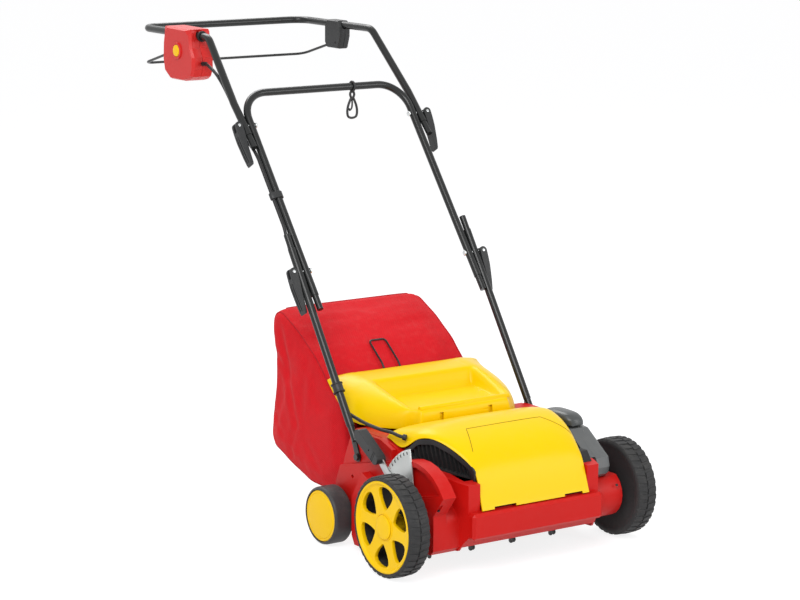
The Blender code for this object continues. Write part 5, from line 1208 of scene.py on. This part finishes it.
def cam_lever(level, word, pin, lean, side):
    """A quick-release lever with its slot and flutes, the ends of its pin and its clamp bolt."""
    down = Vector((0, -math.cos(lean), -math.sin(lean)))
    normal = Vector((0, math.sin(lean), -math.cos(lean)))
    out = Vector((side, 0, 0))
    centre = beside_axle(side * (OUTER_X + 0.017), *pin)
    seat = TUBE_R + 0.0005 - 0.017

    def place(x, t, n):
        return centre + out * x + down * t + normal * n

    head = [(-seat * math.cos(a), seat * math.sin(a)) for a in [math.pi * i / 14 for i in range(15)]]
    blade = [(seat, 0.020), (seat + 0.0008, 0.050), (seat, 0.084), (seat + 0.0015, 0.0885),
             (seat + 0.0045, 0.090), (-0.0030, 0.0885), (-0.0015, 0.0850), (0.0020, 0.068), (0.0048, 0.050),
             (0.0072, 0.034), (0.0083, 0.016)]
    lever = slab("cam_lever", [place(x, t, -0.0095) for x, t in head + blade], normal * 0.019)
    for n in (0.0033, -0.0033):
        corners = ((0.020, 0.024), (0.020, 0.082), (-0.0022, 0.082), (0.0062, 0.024))
        carve(lever, slab("lever_flute", [place(x, t, n - 0.0013) for x, t in corners], normal * 0.0026))
    corners = ((-0.02, -0.02), (-0.02, 0.016), (0.0038, 0.016), (0.02, 0.008), (0.02, -0.02))
    carve(lever, slab("bolt_slot", [place(x, t, -0.0038) for x, t in corners], normal * 0.0076))
    soften(lever, 0.0012, 2, 35)
    ends = []
    for n in (-1, 1):
        ends.append(bent_tube("pin_end", [place(0, 0, n * 0.0080), place(0, 0, n * 0.0103)], 0.0034))
        soften(ends[-1], 0.0008, 2, 40)
    settle(lever, grip_black, f"cam_lever_{level}_{word}", even=True)
    settle(gathered(f"cam_pin_ends_{level}_{word}", *ends), bolt_steel,
           body=body_of_node[f"cam_lever_{level}_{word}"])
    inside = INNER_X - TUBE_R - 0.0003
    bolt = bar_along_x("clamp_bolt", centre, side * (inside - 0.001), centre.x, 0.003, 16)
    cap = bar_along_x("bolt_head", centre, side * (inside - 0.004), side * inside, 0.0060, 24)
    soften(cap, 0.0014, 3, 40)
    settle(gathered(f"clamp_bolt_{level}_{word}", bolt, cap), bolt_steel, f"cam_bolt_{level}_{word}",
           angle=40)


def bail():
    """The switch bail: two arms and a cross bar, its turned-out feet in the two housings."""
    pivot = pivots["bail_squeeze"]
    arm = Vector((0, BAIL_ARM * math.cos(BAIL_REST), BAIL_ARM * math.sin(BAIL_REST)))
    ends = []
    for side, _ in SIDES:
        foot = Vector((side * RETURN_X, pivot.y, pivot.z))
        ends.append([foot + Vector((side * 0.0075, 0, 0)), foot, foot + arm])
    line = ends[0] + ends[1][::-1]
    route = [line[0]] + rounded(line[1:5], (0.003, 0.022, 0.022, 0.003), line[0], line[5]) + [line[5]]
    settle(drawn_wire("switch_bail", route, 0.0029), tube_black, "bail_wire", angle=50)


def rounded(corners, bends, before, after, steps=8):
    """Corners of a route turned into arcs, given the points before and after them."""
    line = [before] + corners + [after]
    path = []
    for a, corner, c, bend in zip(line, line[1:], line[2:], bends):
        into, out = (corner - a).normalized(), (c - corner).normalized()
        angle = into.angle(out)
        first = corner - into * bend * math.tan(angle / 2)
        centre = corner + (out - into).normalized() * (bend / math.cos(angle / 2))
        axis = into.cross(out).normalized()
        for i in range(steps + 1):
            path.append(centre + Matrix.Rotation(angle * i / steps, 3, axis) @ (first - centre))
    return path


# Switch box and fittings

def switch_housing():
    """The switch box in two halves, its sunk button with a ring round it, and the tube's seal."""
    low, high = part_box("switch_box")
    piece = merged_copy("switch_box")
    button_low, button_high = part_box("safety_button")
    centre = (button_low + button_high) / 2
    ring = bar_along_x("button_ring", centre, low.x + 0.004, low.x - 0.0030, 0.0185, 40)
    edit(ring)
    pick(lambda face: face.normal.x < -0.5)
    bpy.ops.mesh.inset(thickness=0.0054)
    push((0.012, 0, 0))
    close_edit()
    edit(piece)
    back, front, top = high.y, low.y + 0.008, high.z
    corners = ((back - 0.008, top - 0.006, 0.0065, 0.0045), (back - 0.020, top, 0.0120, 0.0),
               (front + 0.022, top - 0.001, -0.012, 0.0), (front + 0.006, top - 0.012, -0.001, 0.006))
    for y, z, dy, dz in corners:
        pick(lambda point: abs(point.co.y - y) < 0.0006 and abs(point.co.z - z) < 0.0006, "VERT")
        bpy.ops.transform.translate(value=(0, dy, dz))
    leave()
    soften(piece, 0.0045, 4, 24)
    carve(piece, bar_along_x("button_well", centre, low.x - 0.01, low.x + 0.013, 0.0131, 40))
    carve(piece, split_line("switch_box", 0.0008, 0.02, (0.975, 0.975)))
    soften(ring, 0.0010, 3, 40)
    settle(gathered("switch_box_shell", piece, ring), box_red, "switch_box", even=True)
    button = bar_along_x("push_button", centre, low.x + 0.010, low.x - 0.0042, 0.0124, 40)
    settle(soften(button, 0.0018, 4, 40), button_yellow, "safety_button")
    seal = [Vector((-RETURN_X, low.y + dy, BEND[1])) for dy in (0.004, -0.0010)]
    collar = bent_tube("tube_seal", seal, 0.0118, sides=32)
    settle(soften(collar, 0.0016, 3, 40), black_plastic_and_painted_shade, body="upper_handle")


def bail_block():
    """The bearing block of the bail on the right tube, in two clamped halves."""
    piece = merged_copy("bail_bearing")
    low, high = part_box("bail_bearing")
    middle = (low + high) / 2
    resize(piece, (1, 0.78, 0.92), middle)
    leave()
    soften(piece, 0.0032, 3, 30)
    gap = split_line("bail_bearing", 0.0010, 0.01, (0.75, 0.89))
    screw = bar_along_x("block_screw_hole", middle - Vector((0, 0.012, 0.018)), low.x - 0.01, low.x + 0.006,
                        0.0026)
    carve(piece, gap, screw)
    settle(piece, grip_black, "bail_bearing", angle=38, even=True)


def cable_link():
    """The strain relief: a ring on the cross bar, a waisted link and a small hook in its eye."""
    low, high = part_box("cable_hook")
    bar = beside_axle((low.x + high.x) / 2, *along(LOWER_PIN, MIDDLE_LEAN, MIDDLE_TOP))

    def hung(dx, dz, dy=0.0):
        return bar + Vector((dx, dy, dz))

    turns = [2 * math.pi * i / 28 for i in range(28)]
    ring = drawn_wire("hanger_ring", [hung(0, 0.0103 * math.sin(a), 0.0103 * math.cos(a)) for a in turns],
                      0.0024, True)
    outline = [(0.0035, -0.0120), (0.0052, -0.0180), (0.0030, -0.0245), (0.0060, -0.0310), (0.0105, -0.0420),
               (0.0125, -0.0540), (0.0105, -0.0640), (0.0040, -0.0675)]
    loop = [hung(dx, dz) for dx, dz in outline] + [hung(-dx, dz) for dx, dz in reversed(outline)]
    link = drawn_wire("cable_link", smooth_route(loop + [loop[0]], 0.002)[:-1], 0.0026, True)
    waist = bar_along_x("link_waist", hung(0, -0.0245), bar.x - 0.003, bar.x + 0.003, 0.0022, 14)
    bends = ((0.0, -0.024), (0.0005, -0.038), (-0.001, -0.047), (-0.006, -0.0515), (-0.0075, -0.047))
    hook = drawn_wire("inner_hook", smooth_route([hung(dx, dz, 0.0008) for dx, dz in bends], 0.002), 0.0019)
    settle(gathered("strain_relief_link", ring, link, waist, hook), grip_black, "cable_hook", angle=45)


def height_control():
    """The height lever's strap, its notched sector with painted shade in the notches, and its moulded grip with a
    collar and an eye.
    """
    settle(soften(merged_copy("height_lever"), 0.0004, 2, 35), strap_steel, "height_lever")
    settle(soften(merged_copy("sector_plate"), 0.0003, 2, 35), sector_steel, "sector_plate")
    crank = (-0.0275, 0.110)
    # Thin black slabs on the sector's outer face over its notches: painted shade for the dark gaps.
    notch_shades = []
    for i in range(6):
        ray = math.radians(42.8 + 5.3 * i)
        band = flat_band([along(crank, ray, r) for r in (0.1285, 0.1345)], (0.0013, 0.0013))
        notch_shades.append(side_slab("notch_painted_shade", band, -0.2294, -0.2291))
    settle(gathered("sector_notch_painted_shade", *notch_shades), black_plastic_and_painted_shade, body="chassis")
    grip = merged_copy("height_grip")
    low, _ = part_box("height_grip")
    soften(grip, 0.0042, 4, 35)
    start_at, stop_at = beside_axle(0, 0.108, 0.2035), beside_axle(0, 0.168, 0.2395)
    way = (stop_at - start_at).normalized()
    across = Vector((0, -way.z, way.y))
    tools = []
    for distance in (0.004, 0.0085):
        place = start_at + way * distance
        ring = [Vector((low.x - 0.01, 0, 0)) + place + across * 0.02 * s + way * t
                for s, t in ((-1, 0), (1, 0), (1, 0.0014), (-1, 0.0014))]
        tools.append(slab("collar_groove", ring, (0.0115, 0, 0)))
    eye = start_at + way * 0.024 + across * 0.0035
    tools.append(bar_along_x("grip_eye", eye, low.x - 0.01, low.x + 0.005, 0.0022))
    carve(grip, *tools)
    settle(grip, grip_black, "height_grip", angle=40, even=True)


def clips():
    """The cable clip and the cable clamp with its two ribs."""
    for node in ("cable_clip", "cable_clamp"):
        settle(soften(merged_copy(node), 0.0010, 2, 40), grip_black, node, angle=40)
    lean = Vector((0, math.cos(LOWER_LEAN), math.sin(LOWER_LEAN)))
    ribs = []
    for step in (-0.0085, 0.0085):
        place = beside_axle(-OUTER_X, *along(LOWER_PIN, LOWER_LEAN, -CLAMP_DOWN)) + lean * step
        ribs.append(bent_tube("clamp_rib", [place - lean * 0.0015, place + lean * 0.0015], 0.0124, sides=28))
        soften(ribs[-1], 0.0006, 2, 40)
    settle(gathered("clamp_ribs", *ribs), grip_black, body=body_of_node["cable_clamp"])


def leads():
    """The lead from the switch box down the handle to the hood, in its three stretches."""
    off = TUBE_R + LEAD_R + 0.0003

    def beside(pin, angle, s, lift=off):
        p = along(pin, angle, s)
        return beside_axle(LEAD_X, p[0] + lift * math.sin(angle), p[1] - lift * math.cos(angle))

    def upper_at(s, lift=off):
        return beside(UPPER_PIN, UPPER_LEAN, s, lift)

    def middle_at(s, lift=off):
        return beside(LOWER_PIN, MIDDLE_LEAN, s, lift)

    def lower_at(s, lift=off):
        return beside(LOWER_PIN, LOWER_LEAN, s, lift)

    box_front, bar_z = BAR_Y - 0.252, BEND[1]
    crossing, gap = 0.062, 0.00015
    meet_up, meet_low = MIDDLE_REACH - UPPER_TUBE_OVER - crossing, LOWER_TUBE_OVER + crossing
    upper = [beside_axle(-RETURN_X, box_front - 0.0085, bar_z - 0.058),
             beside_axle(-RETURN_X, box_front - 0.022, bar_z - 0.057),
             upper_at(0.155, off + 0.006), upper_at(0.110), upper_at(0.060), upper_at(0.010),
             upper_at(-0.018, off + 0.001), middle_at(MIDDLE_REACH - 0.031, off + 0.001),
             middle_at(meet_up + 0.030, 0.004), middle_at(meet_up + 0.008, 0.0),
             middle_at(meet_up + gap, 0.0)]
    middle = [middle_at(meet_up - gap, 0.0), middle_at(0.177, 0.0), middle_at(meet_low + gap, 0.0)]
    entry = beside_axle(-WORK_HALF - 0.036, 0.072, 0.2500)
    way_in = Vector((0.62, -0.76, -0.18)).normalized() * 0.014
    over_deck = [(-0.2095, 0.256, 0.2635), (-0.2040, 0.232, 0.2555), (-0.2060, 0.192, 0.2525),
                 (-0.2080, 0.141, 0.2520), (-0.2095, 0.100, 0.2545)]
    lower = [middle_at(meet_low - gap, 0.0), middle_at(meet_low - 0.008, 0.0),
             middle_at(meet_low - 0.030, 0.004), lower_at(0.056, off + 0.001), lower_at(0.030, off + 0.0005),
             lower_at(0.0), lower_at(-CLAMP_DOWN * 0.5), lower_at(-CLAMP_DOWN),
             lower_at(-CLAMP_DOWN - 0.030),
             *[beside_axle(*p) for p in over_deck], entry - way_in * 0.7, entry]
    over_upper_pin = ("upper_handle", "middle_handle", upper_at(0.030), middle_at(MIDDLE_REACH - 0.031))
    over_lower_pin = ("middle_handle", "chassis", middle_at(0.036), lower_at(-0.030))
    for name, points, between in (("lead_upper", upper, over_upper_pin), ("lead_middle", middle, None),
                                  ("lead_lower", lower, over_lower_pin)):
        piece = drawn_wire(f"{name}_cord", smooth_route(points, 0.005), LEAD_R, resolution=5)
        settle(piece, lead_black, name, between=between, angle=50)
    line = [upper[0] + Vector((0, 0.002, 0)), upper[0] + (upper[1] - upper[0]) * 0.4, upper[1]]
    sleeve = drawn_wire("box_lead_sleeve", line, 0.0046, resolution=5)
    settle(sleeve, lead_black, body="upper_handle", angle=50)
    ring = bent_tube("hood_grommet", [entry - way_in * 0.12, entry + way_in * 0.45], 0.0060, sides=28)
    settle(soften(ring, 0.0012, 3, 40), lead_black, "lead_grommet", angle=40)


# Chassis

def chassis():
    """The red housing: its own solid with eased edges, and screws in wells."""
    piece = merged_copy("chassis_housing")
    soften(piece, 0.0018, 2, 28)
    spots = [(beside_axle(-0.2216, -0.0796, 0.1424), Vector((0, -0.62, 0.78)), 0.012, 0.006, 0.0036),
             (beside_axle(0.2216, -0.0700, 0.1260), Vector((0, -0.75, 0.66)), 0.012, 0.006, 0.0036)]
    spots += [(beside_axle(side * 0.2220, 0.2202, 0.1416), Vector((side, 0, 0)), 0.01, 0.005, 0.0040)
              for side, _ in SIDES]
    wells, screws = [], []
    for spot, facing, above, below, radius in spots:
        wells.append(bent_tube("screw_well", [spot + facing * above, spot - facing * below], radius))
        screws.append(screw_head(spot - facing * 0.0035, facing))
    carve(piece, *wells)
    settle(piece, red_plastic, "chassis_housing", angle=32, even=True)
    settle(gathered("case_screws", *screws), screw_black, body="chassis", angle=40)


def screw_head(place, facing):
    """A small domed screw with a crossed recess."""
    head = bent_tube("screw_head", [place - facing * 0.002, place], 0.0030, sides=20)
    soften(head, 0.0007, 2, 40)
    turned_to = facing.to_track_quat("Z", "Y").to_matrix().to_4x4()
    for angle in (0, 90):
        turn = Matrix.Translation(place) @ turned_to @ Matrix.Rotation(math.radians(angle), 4, "Z")
        bar = start(bpy.ops.mesh.primitive_cube_add, "recess", size=1, location=(0, 0, 0),
                    scale=(0.0034, 0.0008, 0.0014))
        whole()
        bpy.ops.mesh.bevel(offset=0.0001, segments=1, affect="EDGES")
        close_edit()
        bar.data.transform(turn)
        carve(head, bar)
    return head


# Bag

BAG_SIDE = [(0.291, 0.098), (0.330, 0.080), (0.380, 0.064), (0.4485, 0.066), (0.525, 0.090), (0.600, 0.118),
            (0.611, 0.137), (0.603, 0.190), (0.592, 0.250), (0.587, 0.315), (0.603, 0.376), (0.602, 0.404),
            (0.592, 0.418), (0.568, 0.423), (0.500, 0.391), (0.436, 0.350), (0.393, 0.3120), (0.374, 0.2930),
            (0.3231, 0.2732)]
BAG_CENTRE = (0.46, 0.24)
BAG_HALF = 0.181
BAG_ROUNDING = ((1.0, 0.905), (0.99, 0.940), (0.965, 0.965), (0.92, 0.985), (0.86, 0.996), (0.68, 1.0),
                (0.4, 1.0), (0.0, 1.0))
BAG_START_IN = 0.0015
BAG_CAP = 0.007
BAG_VOXEL = 0.0071
BAG_PRESSURE = 4.0
CLOTH_FRAMES = 20
PIPING_R = 0.0013
MOUTH_LOW, MOUTH_HIGH = (0.2935, 0.098), (0.3255, 0.2732)
SIDE_CREASES = [
    # from (y, z), to (y, z), depth, width
    ((0.560, 0.375), (0.487, 0.190), 0.0060, 0.011),
    ((0.487, 0.190), (0.520, 0.110), 0.0030, 0.010),
    ((0.588, 0.330), (0.530, 0.285), 0.0035, 0.009),
    ((0.455, 0.330), (0.470, 0.215), 0.0030, 0.013),
    ((0.590, 0.200), (0.540, 0.160), 0.0028, 0.009),
    ((0.400, 0.110), (0.450, 0.160), 0.0025, 0.011),
]
ACROSS_CREASES = [
    # from x, to x, y, z, depth
    (-0.12, 0.10, 0.604, 0.190, 0.0035),
    (-0.10, 0.13, 0.586, 0.300, 0.0040),
    (-0.13, -0.02, 0.500, 0.388, 0.0018),
    (0.03, 0.14, 0.470, 0.368, 0.0018),
]


def bag_ring(share, scale):
    """The bag's side outline at a share of its half width, a little inside the finished cloth."""
    centre = Vector(BAG_CENTRE)
    ring = []
    for y, z in BAG_SIDE:
        away = Vector((y, z)) - centre
        p = centre + away * scale - away.normalized() * BAG_START_IN
        ring.append(beside_axle(share * (BAG_HALF - BAG_START_IN), p.x, p.y))
    return ring


def puff(piece, voxel, pressure, cap):
    """Swells a closed soft body as cloth under air pressure, with each point's way limited."""
    skin = piece.modifiers.new("even_skin", "REMESH")
    skin.mode = "VOXEL"
    skin.voxel_size = voxel
    apply_all(piece)
    before = [(point.co.copy(), point.normal.copy()) for point in piece.data.vertices]
    cloth = piece.modifiers.new("swelling", "CLOTH")
    cloth.settings.quality = 5
    cloth.settings.use_pressure = True
    cloth.settings.uniform_pressure_force = pressure
    cloth.settings.effector_weights.gravity = 0
    for number in range(1, CLOTH_FRAMES + 1):
        scene.frame_set(number)
    grown = piece.evaluated_get(bpy.context.evaluated_depsgraph_get()).data
    after = [point.co.copy() for point in grown.vertices]
    piece.modifiers.remove(cloth)
    for point, (old, out), new in zip(piece.data.vertices, before, after):
        way = new - old
        room = cap if way.dot(out) > 0 else cap * 0.2
        point.co = old + way * min(1.0, room / max(way.length, 1e-9))
    scene.frame_set(1)
    return piece


def crease(piece, start_at, stop_at, depth, width, side=0):
    """A soft fold pressed in along a line, with a low swell on both sides of it."""
    run = stop_at - start_at
    for point in piece.data.vertices:
        if side and point.co.x * side < 0:
            continue
        t = max(0.0, min(1.0, (point.co - start_at).dot(run) / run.length_squared))
        off = (point.co - start_at - run * t).length / width
        if off < 3.2:
            fade = math.sin(math.pi * (0.12 + 0.76 * t)) ** 0.5
            fold = math.exp(-off * off) - 0.45 * math.exp(-((off - 1.5) ** 2))
            point.co -= point.normal * depth * fade * fold


def bag():
    """The collecting bag: a lofted shell swelled as cloth, creased, cut open at its mouth and piped."""
    rings = [bag_ring(-share, scale) for share, scale in BAG_ROUNDING]
    rings += [bag_ring(share, scale) for share, scale in reversed(BAG_ROUNDING[:-1])]
    piece = sheet_through("bag_cloth", [ring + [ring[0]] for ring in rings])
    edit(piece)
    whole()
    bpy.ops.mesh.fill_holes(sides=0)
    close_edit()
    puff(piece, BAG_VOXEL, BAG_PRESSURE, BAG_CAP)
    even = piece.modifiers.new("smoothed", "SMOOTH")
    even.iterations = 5
    apply_all(piece)
    for a, b, depth, width in SIDE_CREASES:
        for side, _ in SIDES:
            start_at, stop_at = [beside_axle(side * BAG_HALF, *p) for p in (a, b)]
            crease(piece, start_at, stop_at, depth, width, side)
    for x0, x1, y, z, depth in ACROSS_CREASES:
        crease(piece, beside_axle(x0, y, z), beside_axle(x1, y + 0.006, z + 0.012), depth, 0.014)
    finer(piece, 1)
    skin = BVHTree.FromObject(piece, bpy.context.evaluated_depsgraph_get())
    low, high = beside_axle(0, *MOUTH_LOW), beside_axle(0, *MOUTH_HIGH)
    rise = (high - low).normalized()
    edit(piece)
    whole()
    bpy.ops.mesh.bisect(plane_co=low, plane_no=Vector((0, -rise.z, rise.y)), clear_outer=True, use_fill=False)
    leave()
    walled(piece, 0.0012)
    settle(piece, bag_red, "bag_fabric", angle=60)
    routes = [[p for p in bag_ring(side * 0.965, 0.955) if p.y > low.y + 0.012] for side, _ in SIDES]
    routes += [[beside_axle(0.155 * (i / 8 - 1), *line) for i in range(17)]
               for line in ((0.578, 0.4240), (0.608, 0.130))]
    seams = [piping(skin, route) for route in routes]
    settle(gathered("bag_piping", *seams), piping_red, body="bag", angle=60)


def piping(skin, points):
    """A sewn cord laid on the cloth along a route."""
    laid = []
    for point in smooth_route(points, 0.006):
        hit, normal, _, _ = skin.find_nearest(point)
        laid.append(hit + normal * PIPING_R * 0.35)
    return drawn_wire("piping", laid, PIPING_R, resolution=2)


def bag_wires():
    """The wire frame round the bag's mouth and the lifting handle on it."""
    low, high = (0.2858, 0.109), (0.3203, 0.2820)
    half = 0.166
    square = side_path(-half, low, high) + side_path(half, high, low)
    route = rounded(square, (0.018,) * 4, square[3], square[0])
    settle(drawn_wire("bag_mouth_frame", route, 0.004, True), tube_black, "bag_frame", angle=50)
    foot = (high[0], high[1] + 0.004 + 0.002 + 0.0003)
    side = [foot, (foot[0] + 0.004, foot[1] + 0.0016), (0.3716, 0.3032), (0.3868, 0.3224), (0.4355, 0.3600)]
    line = side_path(-0.040, *side) + side_path(0.0, *reversed(side))
    bends = (0.003, 0.006, 0.006, 0.008, 0.008, 0.006, 0.006, 0.003)
    route = [line[0]] + rounded(line[1:-1], bends, line[0], line[-1], 4)
    settle(drawn_wire("bag_lift_wire", route + [line[-1]], 0.002), tube_black, "bag_handle", angle=50)


# Covers on the right

def covers():
    """The belt cover and the rounded end cap of the motor."""
    settle(soften(merged_copy("belt_cover"), 0.0042, 4, 28), grey_plastic, "belt_cover", even=True)
    cap = merged_copy("motor_end_cap")
    edit(cap)
    base = min(point.co.z for point in cap.data.vertices)
    pick(lambda edge: all(point.co.z < base + 0.0005 for point in edge.verts), "EDGE")
    bpy.ops.transform.edge_crease(value=1.0)
    leave()
    finer(cap, 2)
    settle(cap, cap_grey, "motor_end_cap", angle=45)


# Everything in its place

set_camera()
groups = {"grain": make_grain(), "sheen": make_sheen(), "tone": make_tone(), "dust": make_dust(),
          "weave": make_weave(), "scuffs": make_scuffs()}
set_studio()

red_plastic = moulded_plastic("chassis_red_plastic", (0.54, 0.006, 0.004), 0.42, 0.22, 700.0, 0.00004)
box_red = moulded_plastic("switch_box_red", (0.60, 0.020, 0.018), 0.36, 0.30)
yellow_plastic = moulded_plastic("cover_yellow_plastic", (0.87, 0.57, 0.0), 0.30, 0.14, 1200.0, 0.00001,
                                 0.02, 0.08)
wheel_yellow = moulded_plastic("wheel_yellow_plastic", (0.90, 0.56, 0.0), 0.36, 0.16)
button_yellow = moulded_plastic("button_yellow_plastic", (0.92, 0.55, 0.0), 0.32, 0.2)
grey_plastic = moulded_plastic("belt_cover_grey", (0.085, 0.090, 0.092), 0.26, 0.60)
cap_grey = moulded_plastic("end_cap_grey", (0.055, 0.060, 0.061), 0.34, 0.45)
seam_shadow = moulded_plastic("hood_seam_shadow", (0.22, 0.13, 0.003), 0.6, 0.1)
# Black plastic of the latch, the tube seal and the fan; the same colour is painted shade on the plate behind the
# hood's tab slots and in the sector's notches.
black_plastic_and_painted_shade = moulded_plastic("inner_black_plastic_and_painted_shade", (0.010, 0.010, 0.011), 0.50, 0.25)
grille_plastic = moulded_plastic("grille_black", (0.020, 0.021, 0.022), 0.42, 0.35)
grip_black = moulded_plastic("grip_black", (0.022, 0.023, 0.024), 0.42, 0.35, 600.0, 0.00006)
tyre_black = moulded_plastic("tyre_rubber", (0.026, 0.026, 0.027), 0.62, 0.30, 500.0, 0.00008, 0.08, 0.4)
rear_tyre_black = moulded_plastic("rear_tyre_plastic", (0.040, 0.040, 0.042), 0.50, 0.35, 500.0, 0.00006,
                                  0.08, 0.4)
lead_black = moulded_plastic("lead_rubber", (0.014, 0.014, 0.015), 0.48, 0.35)
screw_black = moulded_plastic("screw_black", (0.018, 0.018, 0.018), 0.35, 0.5)
tube_black = powder_coat("tube_black_powder", (0.010, 0.011, 0.011), 0.30)
strap_steel = zinc_steel("lever_strap_steel", (0.50, 0.51, 0.51), 0.36)
sector_steel = zinc_steel("sector_plate_steel", (0.56, 0.58, 0.57), 0.42, 0.6)
bolt_steel = zinc_steel("bolt_steel", (0.62, 0.64, 0.64), 0.30)
tine_steel = zinc_steel("tine_steel", (0.045, 0.045, 0.046), 0.42, 0.6)
motor_metal = zinc_steel("motor_metal", (0.20, 0.21, 0.22), 0.45)
bag_red = woven("bag_red_cloth", (0.68, 0.007, 0.014))
piping_red = woven("bag_piping_red", (0.50, 0.008, 0.016))

for make in (chassis, hood, grille, flap, covers, front_wheels, rear_wheels, tines, handle_tubes, cam_clamps,
             bail, switch_housing, bail_block, cable_link, height_control, clips, leads, bag, bag_wires):
    make()
for _, word in SIDES:
    moulding(f"foot_bolt_{word}", screw_black, 0.0006)
    moulding(f"bearing_{word}", bolt_steel, 0.0006)
for node in ("crank_axle", "flap_hinge_rod", "rear_axle", "blade_shaft", "motor_shaft"):
    moulding(node, strap_steel, 0.0004)
for node in ("blade_pulley", "motor_pulley"):
    moulding(node, bolt_steel, 0.0005)
moulding("motor_body", motor_metal, 0.0010)
moulding("motor_fan", black_plastic_and_painted_shade, 0.0004)
moulding("drive_belt", lead_black, 0.0006)
